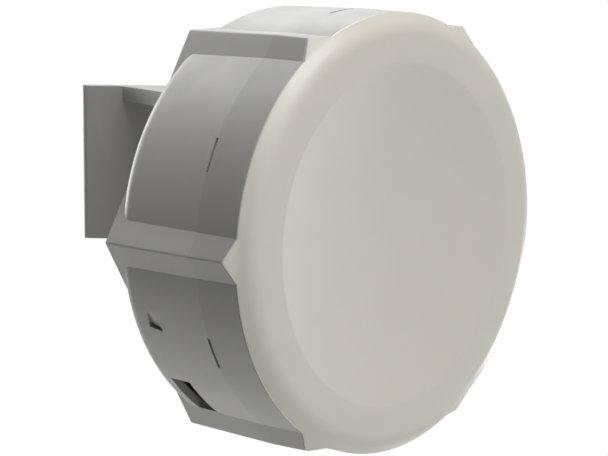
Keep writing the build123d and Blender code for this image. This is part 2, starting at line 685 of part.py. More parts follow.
parts["main_board"] = make_main_board()
parts["board_screws"] = make_screw_set(BOARD_SCREWS, 2.8, 1.45, 31.4, BOARD_FRONT, 44.0)
parts["shield_can"] = make_shield_can()
parts["processor"] = block(-7, 7, BOARD_REAR, BOARD_REAR + 1.2, 8, 22)
parts["thermal_pad"] = block(-7, 7, BOARD_REAR + 1.2, BOARD_REAR + 1.9, 8, 22)
parts["heat_sink"] = make_heat_sink()
parts["memory_chip"] = block(-5, 5, BOARD_REAR, BOARD_REAR + 1.1, -7, 1)
parts["line_transformer"] = block(-8, 8, BOARD_REAR, BOARD_REAR + 6, -27, -17)
parts["status_leds"] = make_status_leds()
parts["ethernet_jack"] = make_ethernet_jack()
parts["jack_contacts"] = make_jack_contacts()
parts["reset_switch"] = block(RESET_X - 3, RESET_X + 3, BOARD_REAR, RESET_Y + 1.8, -39.5, -36.0)
parts["reset_plunger"] = make_reset_plunger()
for name, side in (("left", -1), ("right", 1)):
    parts[f"antenna_lead_{name}"] = make_lead(side)
    parts[f"lead_plug_{name}"] = make_lead_plug(side)

parts["tilt_knuckle"] = make_knuckle()
parts["knuckle_screws"] = Compound(children=[knuckle_screw(x, z) for x, z in knuckle_centres()])
parts["ground_insert"] = make_ground_insert()
parts["ground_screw"] = make_ground_screw()
parts["pole_yoke"] = make_yoke()
parts["pivot_bolt"] = make_pivot_bolt()
parts["pivot_washers"] = make_pivot_washers()
parts["pivot_nut"] = make_pivot_nut()

os.makedirs("parts", exist_ok=True)
for node, shape in parts.items():
    export_step(ROW_SHIFT * shape, f"parts/{node}.step")
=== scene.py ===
import math

import bmesh
import bpy
from mathutils import Matrix, Vector


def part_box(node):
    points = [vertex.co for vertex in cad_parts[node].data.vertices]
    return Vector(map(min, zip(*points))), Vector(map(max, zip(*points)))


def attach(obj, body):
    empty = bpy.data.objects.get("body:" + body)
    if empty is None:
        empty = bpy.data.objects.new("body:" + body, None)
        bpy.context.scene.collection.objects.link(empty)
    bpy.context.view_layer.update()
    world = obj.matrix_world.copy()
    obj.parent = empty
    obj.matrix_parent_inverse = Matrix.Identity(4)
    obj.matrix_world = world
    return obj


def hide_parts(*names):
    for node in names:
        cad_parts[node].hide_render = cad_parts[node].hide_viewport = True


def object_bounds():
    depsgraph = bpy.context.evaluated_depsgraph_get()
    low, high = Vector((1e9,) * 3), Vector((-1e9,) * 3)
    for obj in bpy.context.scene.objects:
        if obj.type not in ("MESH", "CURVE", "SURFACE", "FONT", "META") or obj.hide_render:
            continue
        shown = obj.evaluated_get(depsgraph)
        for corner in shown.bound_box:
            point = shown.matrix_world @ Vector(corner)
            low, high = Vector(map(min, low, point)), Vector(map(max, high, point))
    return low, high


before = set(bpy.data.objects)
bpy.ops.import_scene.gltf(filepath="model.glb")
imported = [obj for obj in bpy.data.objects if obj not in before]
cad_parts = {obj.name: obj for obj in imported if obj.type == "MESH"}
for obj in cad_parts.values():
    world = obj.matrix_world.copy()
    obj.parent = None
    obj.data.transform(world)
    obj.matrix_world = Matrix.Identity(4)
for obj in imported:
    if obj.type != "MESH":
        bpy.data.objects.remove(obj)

CAD_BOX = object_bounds()
MM = 0.001

# ---------------------------------------------------------------- driving dimensions, mm
SHELL_R = 70.0            # curved side panels, at the seam
SHELL_R_PART = 70.3       # at the parting line
SHELL_R_REAR = 69.8       # where they start to round over to the back
CORNER_R = 73.6           # centre to corner of the hexagonal prism, at the seam
CORNER_R_PART = 74.0      # at the parting line
CORNER_R_REAR = 73.5      # at the back plate
CORNER_ROUND = 0.9
PARTING_Y = 16.0          # the side walls have draft both ways from this depth
ROUND_START = 46.2        # depth at which the panels start to round over
DRUM_ROUND = 5.8          # radius of that rounding, outside and inside
DRUM_ROUND_IN = 3.2
DRUM_BACK = ROUND_START + DRUM_ROUND
BACK = 52.8               # rear face of the back plate
BACK_CHAMFER = 0.3
WALL = 2.3                # side walls of the prism
PLATE = 2.4               # back plate
INNER_R = 67.2            # inside of the curved panels
SEAM_GAP = 0.2
TIP_SEAM = 2.3            # how far the seam runs back at a corner
SEAM_SLOPE = TIP_SEAM / (CORNER_R - SHELL_R)

CREASE_R = 54.5           # edge of the dished middle of the radome
CREASE_EASE = 0.5         # how far each side of the crease is eased over
RIM_FLAT_R = 63.2         # the flat ring's outer edge, where the rim starts to round over
RIM_ROUND = 7.25
RIM_ANGLE = 45.0          # degrees from the flat ring to the rim's bevel
RIM_EDGE = 0.5            # height of the rim's outer edge in front of the seam
EAR_SLOPE = 0.6           # the rim's fall for each millimetre outside the panels, at the corners
FRONT = 4.3               # the flat ring's height in front of the seam
DISH_DEPTH = 5.5
DISH_R = (CREASE_R ** 2 + DISH_DEPTH ** 2) / (2 * DISH_DEPTH)
RADOME_T = 2.0

SLOT_FRONT = 15.5         # snap windows in the curved panels
SLOT_REAR = 16.5
SLOT_HALF = 4.4           # degrees
SLOT_ANGLES = (25, 95, 155, 206, 265, 334)
RELEASE_ANGLE = 226.6     # release windows beside the door's panel
RELEASE_HALF = 7.0
RELEASE_FRONT = 35.8
RELEASE_REAR = 44.2
PRY_ANGLE = 199.5
PRY_POCKET = (            # y, z and depth of its corners, drawn on the +X side
    (41.2, -3.5, 0.0),
    (42.1, 2.9, 1.6),
    (36.5, 3.8, 1.06),
    (36.7, -0.9, 0.0),
)
PAN_BOSS_ANGLES = (25, 90, 155, 215, 325)
PAN_BOSS_RING = 55.0
BOARD_SCREWS = [(x, z) for x in (-32, 32) for z in (35, -31)]
PAN_BACK = 15.2           # back of the reflector pan
BOARD_REAR = 35.0         # back of the radio board

PIVOT_Y = 67.0            # tilt axis, behind the seam
BRACKET_Z = 15.5          # tilt axis, above the drum's axis
EAR_R = 9.0
EAR_IN = 6.0
EAR_OUT = 9.7
CHEEK_IN = 10.0
CHEEK_OUT = 14.0
CHEEK_REAR = 24.0         # behind the tilt axis
KNUCKLE_HALF_W = 23.0
KNUCKLE_HALF_H = 18.0
KNUCKLE_T = 3.2
KNUCKLE_SCREW_X = 18.5
KNUCKLE_SCREW_Z = 12.0    # above and below the tilt axis
GROUND_X = 28.0
GROUND_Z = -37.0
BOLT_R = 3.0              # M6
M3_R = 1.5
M4_R = 2.0
JAW_ANGLE = 36.0          # degrees from straight back to each wing
JAW_TIP_X = 30.2
JAW_TIP_Y = 111.4
JAW_T = 4.5
JAW_TIP_ROUND = 2.1
JAW_HALF_H = 26.0
JAW_BOTTOM_Y = 77.0
FLANGE_T = 5.0
FLANGE_FRONT = 70.0
FLANGE_HALF_W = 28.0
WAIST_Y = 100.0

BAY_HALF_W = 20.0         # cable bay, inside
BAY_TOP = -44.0
BAY_FRONT = 21.5
DOOR_HALF_W = 15.8
DOOR_FRONT = 24.2
DOOR_REAR = 51.8
DOOR_LIP = 1.6
DOOR_GAP = 0.3
DOOR_INNER_R = 66.9
DOOR_TOP = -63.2
FLANGES_HALF_W = 17.8     # over the flanges that hold the door in its grooves
OPENING_TOP = -62.95
BELOW = -80.0             # lower than the whole casing
GROOVE_FRONT = 46.4       # the grooves through the rear wall for the door's flanges
GRIP_YS = (37.2, 39.6, 42.0)
CABLE_HOLE_R = 3.3
CABLE_HOLE_Z = -61.6
RESET_X = 14.0
RESET_Y = 37.6
LED_XS = (-30.0, -26.0, -22.0, -18.0, -14.0)
LED_Z = -22.0

SIDES = 6
COS30 = math.cos(math.radians(30))
TAN30 = math.tan(math.radians(30))

radome_low, radome_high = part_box("front_radome")
UNIT_ORIGIN = Vector((0, radome_low.y + FRONT * MM, (radome_low.z + radome_high.z) / 2))


# ---------------------------------------------------------------- node materials
def link(tree, source, target):
    tree.links.new(source, target)


def node(tree, kind, **settings):
    made = tree.nodes.new(kind)
    for name, value in settings.items():
        setattr(made, name, value)
    return made


def noise(tree, scale, detail=3.0, roughness=0.55):
    """Noise fixed to the object, with its scale in cycles for each metre."""
    place = node(tree, "ShaderNodeTexCoord")
    made = node(tree, "ShaderNodeTexNoise")
    made.inputs["Scale"].default_value = scale
    made.inputs["Detail"].default_value = detail
    made.inputs["Roughness"].default_value = roughness
    link(tree, place.outputs["Object"], made.inputs["Vector"])
    return made.outputs["Fac"]


def spread(tree, fac, low, high):
    """Maps the middle of a noise's range to low..high."""
    made = node(tree, "ShaderNodeMapRange")
    made.inputs["From Min"].default_value = 0.3
    made.inputs["From Max"].default_value = 0.7
    made.inputs["To Min"].default_value = low
    made.inputs["To Max"].default_value = high
    link(tree, fac, made.inputs["Value"])
    return made.outputs["Result"]


def shader(name, colour, roughness, metallic=0.0, **sockets):
    material = bpy.data.materials.new(name)
    material.use_nodes = True
    tree = material.node_tree
    surface = tree.nodes["Principled BSDF"]
    surface.inputs["Base Color"].default_value = (*colour, 1)
    surface.inputs["Roughness"].default_value = roughness
    surface.inputs["Metallic"].default_value = metallic
    for socket, value in sockets.items():
        surface.inputs[socket.replace("_", " ")].default_value = value
    return material, tree, surface


def tint(tree, surface, colour, fac, amount):
    """Varies the base colour a little lighter and darker by a noise."""
    mix = node(tree, "ShaderNodeMix", data_type="RGBA")
    mix.inputs["A"].default_value = (*[c * (1 - amount) for c in colour], 1)
    mix.inputs["B"].default_value = (*[min(1, c * (1 + amount)) for c in colour], 1)
    link(tree, spread(tree, fac, 0, 1), mix.inputs["Factor"])
    link(tree, mix.outputs["Result"], surface.inputs["Base Color"])
    return mix


def bump(tree, surface, height, strength, distance):
    made = node(tree, "ShaderNodeBump")
    made.inputs["Strength"].default_value = strength
    made.inputs["Distance"].default_value = distance
    link(tree, height, made.inputs["Height"])
    link(tree, made.outputs["Normal"], surface.inputs["Normal"])
    return made


def moulded(name, colour, roughness, grain=0.25, depth=0.00004, scale=2600.0, mottle=0.02):
    """Injection-moulded plastic: spark-eroded grain, slow colour drift and patches of handling polish."""
    material, tree, surface = shader(name, colour, roughness, Specular_IOR_Level=0.45)
    tint(tree, surface, colour, noise(tree, 38.0, 4.0), mottle)
    polish = spread(tree, noise(tree, 90.0, 5.0), roughness - 0.05, roughness + 0.06)
    link(tree, polish, surface.inputs["Roughness"])
    bump(tree, surface, noise(tree, scale, 4.0, 0.7), grain, depth)
    return material


def paint_front_wall_shade(material, depth, factor):
    """Painted shade: multiplies the colour darker on the walls in front of the parting line, where light
    falls on them a little differently from the walls behind it.
    """
    tree = material.node_tree
    surface = tree.nodes["Principled BSDF"]
    colour = surface.inputs["Base Color"].links[0].from_socket
    place = node(tree, "ShaderNodeTexCoord")
    split = node(tree, "ShaderNodeSeparateXYZ")
    front = node(tree, "ShaderNodeMath", operation="LESS_THAN")
    front.inputs[1].default_value = depth
    shade = node(tree, "ShaderNodeMix", data_type="RGBA", blend_type="MULTIPLY")
    shade.inputs["B"].default_value = (factor, factor, factor, 1)
    link(tree, place.outputs["Object"], split.inputs["Vector"])
    link(tree, split.outputs["Y"], front.inputs[0])
    link(tree, front.outputs["Value"], shade.inputs["Factor"])
    link(tree, colour, shade.inputs["A"])
    link(tree, shade.outputs["Result"], surface.inputs["Base Color"])


def metal(name, colour, roughness, grain_scale=1800.0, brushed=(1.0, 1.0, 1.0), depth=0.00002):
    """Plated or rolled metal, with fine scratches drawn out along one way where it was brushed."""
    material, tree, surface = shader(name, colour, roughness, metallic=1.0)
    place = node(tree, "ShaderNodeTexCoord")
    stretch = node(tree, "ShaderNodeMapping")
    stretch.inputs["Scale"].default_value = brushed
    link(tree, place.outputs["Object"], stretch.inputs["Vector"])
    grain = node(tree, "ShaderNodeTexNoise")
    grain.inputs["Scale"].default_value = grain_scale
    grain.inputs["Detail"].default_value = 4.0
    link(tree, stretch.outputs["Vector"], grain.inputs["Vector"])
    tint(tree, surface, colour, noise(tree, 160.0, 4.0), 0.06)
    wear = spread(tree, grain.outputs["Fac"], roughness - 0.08, roughness + 0.1)
    link(tree, wear, surface.inputs["Roughness"])
    bump(tree, surface, grain.outputs["Fac"], 0.3, depth)
    return material


def circuit_board(name, colour):
    """Solder resist over copper: faint lighter tracks on a fine grid."""
    material, tree, surface = shader(name, colour, 0.34)
    place = node(tree, "ShaderNodeTexCoord")
    tracks = node(tree, "ShaderNodeTexBrick", offset=0.5, squash=1.0)
    tracks.inputs["Scale"].default_value = 160.0
    tracks.inputs["Mortar Size"].default_value = 0.06
    tracks.inputs["Color1"].default_value = (*colour, 1)
    tracks.inputs["Color2"].default_value = (*[c * 0.86 for c in colour], 1)
    tracks.inputs["Mortar"].default_value = (*[min(1, c * 1.7 + 0.02) for c in colour], 1)
    turn = node(tree, "ShaderNodeMapping")
    turn.inputs["Rotation"].default_value = (math.radians(90), 0, 0)
    link(tree, place.outputs["Object"], turn.inputs["Vector"])
    link(tree, turn.outputs["Vector"], tracks.inputs["Vector"])
    link(tree, tracks.outputs["Color"], surface.inputs["Base Color"])
    bump(tree, surface, tracks.outputs["Fac"], 0.25, 0.00003)
    return material


def clear_plastic(name):
    material, tree, surface = shader(name, (0.86, 0.9, 0.9), 0.12, Transmission_Weight=0.85, IOR=1.49)
    link(tree, spread(tree, noise(tree, 500.0), 0.08, 0.2), surface.inputs["Roughness"])
    return material


HOUSING = moulded("housing_plastic", (0.362, 0.358, 0.342), 0.44)
# painted shade: the housing's walls in front of the parting line are coloured darker
paint_front_wall_shade(HOUSING, UNIT_ORIGIN.y + PARTING_Y * MM, 0.93)
RADOME = moulded("radome_plastic", (0.70, 0.672, 0.602), 0.36, grain=0.16, mottle=0.012)
BRACKET = moulded("bracket_plastic", (0.325, 0.322, 0.310), 0.50, grain=0.35, depth=0.00006, scale=2000.0)
RUBBER = moulded("seal_rubber_black", (0.025, 0.025, 0.027), 0.72, grain=0.4, depth=0.00006, scale=3200.0)
NYLON = moulded("nylon_natural", (0.75, 0.73, 0.66), 0.45)
CHIP = moulded("chip_epoxy", (0.03, 0.03, 0.032), 0.55, grain=0.4, depth=0.00003, scale=5200.0)
PAD = moulded("thermal_pad_grey", (0.36, 0.38, 0.42), 0.8, grain=0.5, depth=0.00008, scale=1500.0)
JACK = moulded("jack_plastic", (0.035, 0.035, 0.038), 0.42)
BUTTON = moulded("button_plastic", (0.05, 0.05, 0.055), 0.5)
JACKET = moulded("lead_jacket_grey", (0.09, 0.09, 0.1), 0.38, grain=0.2)
LENS = moulded("led_lens_milky", (0.74, 0.76, 0.7), 0.3, grain=0.1)
ALUMINIUM = metal("pan_aluminium_sheet", (0.76, 0.77, 0.78), 0.36, brushed=(1.0, 1.0, 0.06))
BRASS = metal("patch_brass_sheet", (0.78, 0.62, 0.32), 0.3, brushed=(0.08, 1.0, 1.0))
ZINC = metal("zinc_plate", (0.66, 0.67, 0.69), 0.3, grain_scale=900.0)
TIN = metal("can_tinplate", (0.72, 0.72, 0.71), 0.34, brushed=(1.0, 1.0, 0.1))
GOLD = metal("contact_gold_plate", (0.86, 0.66, 0.3), 0.26, grain_scale=1500.0)
ANODISED = metal("sink_anodised", (0.06, 0.06, 0.065), 0.45, grain_scale=2400.0)
BOARD = circuit_board("board_solder_resist", (0.02, 0.13, 0.06))
CLEAR = clear_plastic("light_guide_clear")


# ---------------------------------------------------------------- mesh kit, in the unit's frame
class Mesh:
    """Vertices and faces gathered in millimetres."""

    def __init__(self):
        self.points = []
        self.faces = []

    def row(self, points):
        """Adds points and returns their numbers."""
        first = len(self.points)
        self.points += [tuple(point) for point in points]
        return list(range(first, len(self.points)))

    def bridge(self, one, two, closed=True):
        count = len(one)
        for i in range(count if closed else count - 1):
            j = (i + 1) % count
            self.faces.append((one[i], one[j], two[j], two[i]))

    def loft(self, rows, closed=True):
        for one, two in zip(rows, rows[1:]):
            self.bridge(one, two, closed)

    def cap(self, row):
        self.faces.append(tuple(row))

    def fan(self, row, point):
        """Closes a row on one point."""
        centre = self.row([point])[0]
        for i, number in enumerate(row):
            self.faces.append((number, row[(i + 1) % len(row)], centre))

    def build(self, name):
        """A closed object with its normals outwards."""
        mesh = bpy.data.meshes.new(name)
        mesh.from_pydata(self.points, [], self.faces)
        made = bpy.data.objects.new(name, mesh)
        bpy.context.scene.collection.objects.link(made)
        tidy = bmesh.new()
        tidy.from_mesh(mesh)
        bmesh.ops.remove_doubles(tidy, verts=tidy.verts, dist=1e-4)
        bmesh.ops.dissolve_degenerate(tidy, edges=tidy.edges, dist=1e-5)
        bmesh.ops.recalc_face_normals(tidy, faces=tidy.faces)
        tidy.to_mesh(mesh)
        tidy.free()
        return made


def prism(points, low, high, along="y"):
    """An outline made solid between two places: XZ along y, YZ along x, or XY along z."""
    orders = {
        "y": lambda p, d: (p[0], d, p[1]),
        "x": lambda p, d: (d, p[0], p[1]),
        "z": lambda p, d: (p[0], p[1], d),
    }
    lift = orders[along]
    made = Mesh()
    near = made.row([lift(point, low) for point in points])
    far = made.row([lift(point, high) for point in points])
    made.cap(near)
    made.cap(far)
    made.bridge(near, far)
    return made.build("cutter")


def block(x0, x1, y0, y1, z0, z1):
    return prism([(x0, z0), (x1, z0), (x1, z1), (x0, z1)], y0, y1)


def circle(a, b, radius, steps=48):
    turns = [2 * math.pi * i / steps for i in range(steps)]
    return [(a + radius * math.cos(t), b + radius * math.sin(t)) for t in turns]


def disc(x, z, radius, y0, y1, steps=48):
    return prism(circle(x, z, radius, steps), y0, y1)


def rod(a, b, radius, low, high, along, steps=32):
    return prism(circle(a, b, radius, steps), low, high, along)


def rounded(points, radii, steps=5):
    """An outline with an arc at each corner. A radius of zero keeps the corner."""
    outline = []
    count = len(points)
    for i, corner in enumerate(points):
        here = Vector(corner)
        back = (Vector(points[i - 1]) - here).normalized()
        ahead = (Vector(points[(i + 1) % count]) - here).normalized()
        if radii[i] == 0:
            outline.append(tuple(here))
            continue
        half = back.angle(ahead) / 2
        run = radii[i] / math.tan(half)
        centre = here + (back + ahead).normalized() * (radii[i] / math.sin(half))
        start = here + back * run - centre
        turn = start.angle_signed(here + ahead * run - centre)
        for step in range(steps + 1):
            outline.append(tuple(centre + turned(start, -turn * step / steps)))
    return outline


def turned(vector, angle):
    return Matrix.Rotation(angle, 2) @ vector


def ring_sector(angle, half_angle, r_in, r_out, y0, y1, steps=6):
    turns = [math.radians(angle - half_angle + 2 * half_angle * i / steps) for i in range(steps + 1)]
    outer = [(r_out * math.cos(t), r_out * math.sin(t)) for t in turns]
    inner = [(r_in * math.cos(t), r_in * math.sin(t)) for t in reversed(turns)]
    return prism(outer + inner, y0, y1)


def ring(r_in, r_out, y0, y1, steps=144):
    made = Mesh()
    rows = []
    for radius, y in ((r_in, y0), (r_out, y0), (r_out, y1), (r_in, y1)):
        rows.append(made.row([(x, y, z) for x, z in circle(0, 0, radius, steps)]))
    made.loft(rows + rows[:1])
    return made.build("cutter")


def lathe(profile, a, b, along, steps=48, closed=False):
    """An outline of radius and distance turned about an axis: a ring if closed, else capped at its ends."""
    made = Mesh()
    rows = []
    for radius, distance in profile:
        ring_points = circle(a, b, radius, steps)
        if along == "y":
            rows.append(made.row([(x, distance, z) for x, z in ring_points]))
        else:
            rows.append(made.row([(distance, y, z) for y, z in ring_points]))
    made.loft(rows + (rows[:1] if closed else []))
    if not closed:
        made.cap(rows[0])
        made.cap(rows[-1])
    return made.build("lathed")


def spin(piece, degrees_about_y):
    """Turns a piece about the drum's axis, anticlockwise seen from the front."""
    piece.data.transform(Matrix.Rotation(math.radians(-degrees_about_y), 4, "Y"))
    return piece


def join(pieces):
    """Several meshes that don't touch, as one."""
    first = pieces[0]
    gather = bmesh.new()
    for piece in pieces:
        gather.from_mesh(piece.data)
    gather.to_mesh(first.data)
    gather.free()
    for piece in pieces[1:]:
        bpy.data.objects.remove(piece)
    return first


def settle(piece):
    """Makes a piece's modifiers part of its mesh."""
    bpy.context.view_layer.update()
    ready = piece.evaluated_get(bpy.context.evaluated_depsgraph_get())
    mesh = bpy.data.meshes.new_from_object(ready)
    piece.modifiers.clear()
    piece.data = mesh
    return piece


def combine(piece, other, operation):
    step = piece.modifiers.new("shape", "BOOLEAN")
    step.operation = operation
    step.solver = "EXACT"
    step.object = other
    settle(piece)
    bpy.data.objects.remove(other)
    return piece


def add(piece, *others):
    for other in others:
        combine(piece, other, "UNION")
    return piece


def cut(piece, *others):
    for other in others:
        combine(piece, other, "DIFFERENCE")
    return piece


def keep(piece, other):
    return combine(piece, other, "INTERSECT")


def soften(piece, width, segments=3, angle=28):
    """Rounds the edges that turn by more than an angle."""
    clean = bmesh.new()
    clean.from_mesh(piece.data)
    bmesh.ops.remove_doubles(clean, verts=clean.verts, dist=2e-3)
    bmesh.ops.dissolve_limit(clean, angle_limit=math.radians(1), verts=clean.verts, edges=clean.edges)
    clean.to_mesh(piece.data)
    clean.free()
    step = piece.modifiers.new("edges", "BEVEL")
    step.limit_method = "ANGLE"
    step.angle_limit = math.radians(angle)
    step.width = width
    step.segments = segments
    return settle(piece)


SHARP_ANGLE = 18          # degrees. Edges that turn by more than this stay crisp


def parting_edges(piece):
    """The numbers of the edges that lie along the casing's parting line."""
    points = piece.data.vertices
    found = []
    for edge in piece.data.edges:
        ends = [points[number].co for number in edge.vertices]
        if all(abs(end.y - PARTING_Y) < 1e-3 and math.hypot(end.x, end.z) > SHELL_R - 1 for end in ends):
            found.append(edge.index)
    return found


def mesh_piece(piece, name, material, body, *nodes, slot):
    """Puts a finished mesh in the row frame, shades it, hangs it on its body and hides the CAD nodes it
    takes the place of.
    """
    piece.name = name
    piece.data.name = name
    crisp = parting_edges(piece)
    piece.data.transform(Matrix.Translation(UNIT_ORIGIN) @ Matrix.Scale(MM, 4))
    piece.data.materials.clear()
    piece.data.materials.append(material)
    piece.data.shade_smooth()
    piece.data.set_sharp_from_angle(angle=math.radians(SHARP_ANGLE))
    for number in crisp:
        piece.data.edges[number].use_edge_sharp = True
    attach(piece, body)
    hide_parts(*nodes)
    return piece


# ---------------------------------------------------------------- the casing's outline
ARC_COLUMNS = 32          # on each curved panel
FLAT_COLUMNS = 4          # on each flat beside it
CORNER_COLUMNS = 6        # round each corner
ROUND_STEPS = 14          # over the rear rounding
FINE_STEPS = 288          # round a cylinder that trims the casing


def outline(panel_r, corner_r, chord=None):
    """The outline of drum and prism at one depth, as (x, z), with the same columns for any sizes.

    With a chord, the columns of the curved panels lie on the prism's flat instead, within that half width.
    """
    apothem = corner_r * COS30
    half = chord if chord is not None else math.sqrt(panel_r ** 2 - apothem ** 2)
    turn = math.asin(half / panel_r)
    corner_start = apothem * TAN30 - CORNER_ROUND * TAN30
    flats = [half + (corner_start - half) * i / FLAT_COLUMNS for i in range(FLAT_COLUMNS + 1)]
    local = [(apothem, -s) for s in reversed(flats[1:])]
    for i in range(ARC_COLUMNS + 1):
        phi = turn * (2 * i / ARC_COLUMNS - 1)
        on_arc = panel_r * math.cos(phi)
        local.append((apothem if chord is not None else on_arc, panel_r * math.sin(phi)))
    local += [(apothem, s) for s in flats[1:]]
    for i in range(1, CORNER_COLUMNS):
        t = math.radians(60 * i / CORNER_COLUMNS)
        n = apothem - CORNER_ROUND + CORNER_ROUND * math.cos(t)
        local.append((n, corner_start + CORNER_ROUND * math.sin(t)))
    points = []
    for side in range(SIDES):
        facing = math.radians(30 + 60 * side)
        for n, s in local:
            x = n * math.cos(facing) - s * math.sin(facing)
            z = n * math.sin(facing) + s * math.cos(facing)
            points.append((x, z))
    return points


def draft(y, front, part, rear, rear_y):
    """A size that widens from the seam to the parting line and narrows again behind it."""
    if y <= PARTING_Y:
        return front + (part - front) * y / PARTING_Y
    return part + (rear - part) * (y - PARTING_Y) / (rear_y - PARTING_Y)


def draft_r(y):
    """Radius of the curved panels at a depth."""
    if y <= ROUND_START:
        return draft(y, SHELL_R, SHELL_R_PART, SHELL_R_REAR, ROUND_START)
    return SHELL_R_REAR - DRUM_ROUND + math.sqrt(DRUM_ROUND ** 2 - (y - ROUND_START) ** 2)


def draft_corner(y):
    """Centre to corner of the prism at a depth."""
    return draft(y, CORNER_R, CORNER_R_PART, CORNER_R_REAR, BACK - BACK_CHAMFER)


def seam_y(x, z):
    """The seam's depth at a point of the outline: it runs back towards the corners."""
    return SEAM_SLOPE * max(0.0, math.hypot(x, z) - SHELL_R)


def at(points, y):
    """An outline's points at one depth."""
    return [(x, y, z) for x, z in points]


def shrunk(points, amount):
    """An outline's points, moved towards the middle."""
    return [(x * (1 - amount / math.hypot(x, z)), z * (1 - amount / math.hypot(x, z))) for x, z in points]


def outer_rows(mesh):
    """Rows of the casing's outside, from the seam to the edge of the back plate."""
    front = outline(SHELL_R, CORNER_R)
    edge = 0.25
    rows = [
        mesh.row([(x, SEAM_GAP + seam_y(*full), z) for (x, z), full in zip(shrunk(front, edge), front)]),
        mesh.row([(x, SEAM_GAP + edge + seam_y(x, z), z) for x, z in front]),
    ]
    for y in (6.0, PARTING_Y, 24.0, 32.0, 40.0, ROUND_START):
        rows.append(mesh.row(at(outline(draft_r(y), draft_corner(y)), y)))
    for step in range(1, ROUND_STEPS + 1):
        y = ROUND_START + DRUM_ROUND * math.sin(math.radians(90 * step / ROUND_STEPS))
        rows.append(mesh.row(at(outline(draft_r(y), draft_corner(y)), y)))
    rim_r = SHELL_R_REAR - DRUM_ROUND
    half = math.sqrt(rim_r ** 2 - (draft_corner(DRUM_BACK) * COS30) ** 2)
    for y in (DRUM_BACK, BACK - BACK_CHAMFER):
        rows.append(mesh.row(at(outline(rim_r, draft_corner(y), half), y)))
    edge_r = CORNER_R_REAR - BACK_CHAMFER / COS30
    rows.append(mesh.row(at(outline(rim_r, edge_r, half), BACK)))
    return rows


def envelope():
    """The casing's outside as a closed solid."""
    mesh = Mesh()
    rows = outer_rows(mesh)
    mesh.loft(rows)
    mesh.cap(rows[0])
    mesh.cap(rows[-1])
    made = mesh.build("envelope")
    flat_faces = bmesh.new()
    flat_faces.from_mesh(made.data)
    bmesh.ops.triangulate(flat_faces, faces=flat_faces.faces)
    flat_faces.to_mesh(made.data)
    flat_faces.free()
    return made


def polar(radius, angle):
    return radius * math.cos(math.radians(angle)), radius * math.sin(math.radians(angle))


def knuckle_centres():
    """The knuckle's four screws, as (x, z)."""
    rows = (-KNUCKLE_SCREW_Z, KNUCKLE_SCREW_Z)
    return [(x, BRACKET_Z + up) for x in (-KNUCKLE_SCREW_X, KNUCKLE_SCREW_X) for up in rows]


def pry_pocket(left):
    """A pocket that deepens from its upper front edge to its lower rear corner, drawn on the +X side."""
    skin = SHELL_R - 0.05
    made = Mesh()
    top = made.row([(skin + 3, y, z) for y, z, _ in PRY_POCKET])
    floor = made.row([(skin - depth, y, z) for y, z, depth in PRY_POCKET])
    made.cap(top)
    made.cap(floor)
    made.bridge(top, floor)
    pocket = made.build("cutter")
    if not left:
        pocket.data.transform(Matrix.Scale(-1, 4, Vector((0, 0, 1))))
        pocket.data.flip_normals()
    return pocket


def cable_bay():
    """The box round the cable bay, open below, that ends inside the panel's wall."""
    thick = 2
    wide = BAY_HALF_W + thick
    roof = BAY_TOP + thick
    front = block(-wide, wide, BAY_FRONT - thick, DRUM_BACK - 1.8, -70, roof)
    front = keep(front, disc(0, 0, INNER_R + 0.5, 0, DRUM_BACK, FINE_STEPS))
    rear = block(-wide, wide, DRUM_BACK - 2.1, BACK - 1, CABLE_HOLE_Z, roof)
    bay = add(front, rear)
    return cut(bay, block(-BAY_HALF_W, BAY_HALF_W, BAY_FRONT, BACK - PLATE, BELOW, BAY_TOP))


def housing_shell():
    """The housing's walls and back plate as one closed skin, outside and inside."""
    mesh = Mesh()
    rows = outer_rows(mesh)
    mesh.cap(rows[-1])
    corner_in = WALL / COS30
    inner = outline(INNER_R, CORNER_R - corner_in)
    step_y = DRUM_BACK - WALL
    round_y = step_y - DRUM_ROUND_IN
    rim_r = INNER_R - DRUM_ROUND_IN
    rows.insert(0, mesh.row([(x, SEAM_GAP + seam_y(x, z), z) for x, z in inner]))
    rows.insert(0, mesh.row(at(outline(INNER_R, CORNER_R_PART - corner_in), PARTING_Y)))
    inner_steps = 6
    for step in range(inner_steps + 1):
        t = math.radians(90 * step / inner_steps)
        y = round_y + DRUM_ROUND_IN * math.sin(t)
        radius = rim_r + DRUM_ROUND_IN * math.cos(t)
        rows.insert(0, mesh.row(at(outline(radius, draft_corner(y) - corner_in), y)))
    half = math.sqrt(rim_r ** 2 - ((draft_corner(step_y) - corner_in) * COS30) ** 2)
    for y in (step_y, BACK - PLATE):
        rows.insert(0, mesh.row(at(outline(rim_r, draft_corner(y) - corner_in, half), y)))
    mesh.loft(rows)
    mesh.cap(rows[0])
    return mesh.build("rear_housing")


def add_bosses(body):
    """The screw bosses inside the back plate, with their holes and those of the lights."""
    rear = BACK - 1
    through = BACK + 1
    deep = 42
    pan_centres = [polar(PAN_BOSS_RING, angle) for angle in PAN_BOSS_ANGLES]
    bosses = [disc(x, z, 3.7, PAN_BACK, rear) for x, z in pan_centres]
    bosses += [disc(x, z, 3.5, BOARD_REAR, rear) for x, z in BOARD_SCREWS]
    bosses += [disc(x, z, 4.0, deep, rear) for x, z in knuckle_centres()]
    add(body, join(bosses), disc(GROUND_X, GROUND_Z, 5, deep, rear))
    holes = [disc(x, z, M3_R, PAN_BACK - 0.2, 26.5, 24) for x, z in pan_centres]
    holes += [disc(x, z, M3_R, BOARD_REAR - 1, 45, 24) for x, z in BOARD_SCREWS]
    holes += [disc(x, z, M4_R + 0.05, deep - 1, through, 24) for x, z in knuckle_centres()]
    holes.append(disc(GROUND_X, GROUND_Z, 3.0, deep + 1, through, 32))
    holes += [disc(x, LED_Z, 1.25, BACK - 4, through, 32) for x in LED_XS]
    cut(body, join(holes))


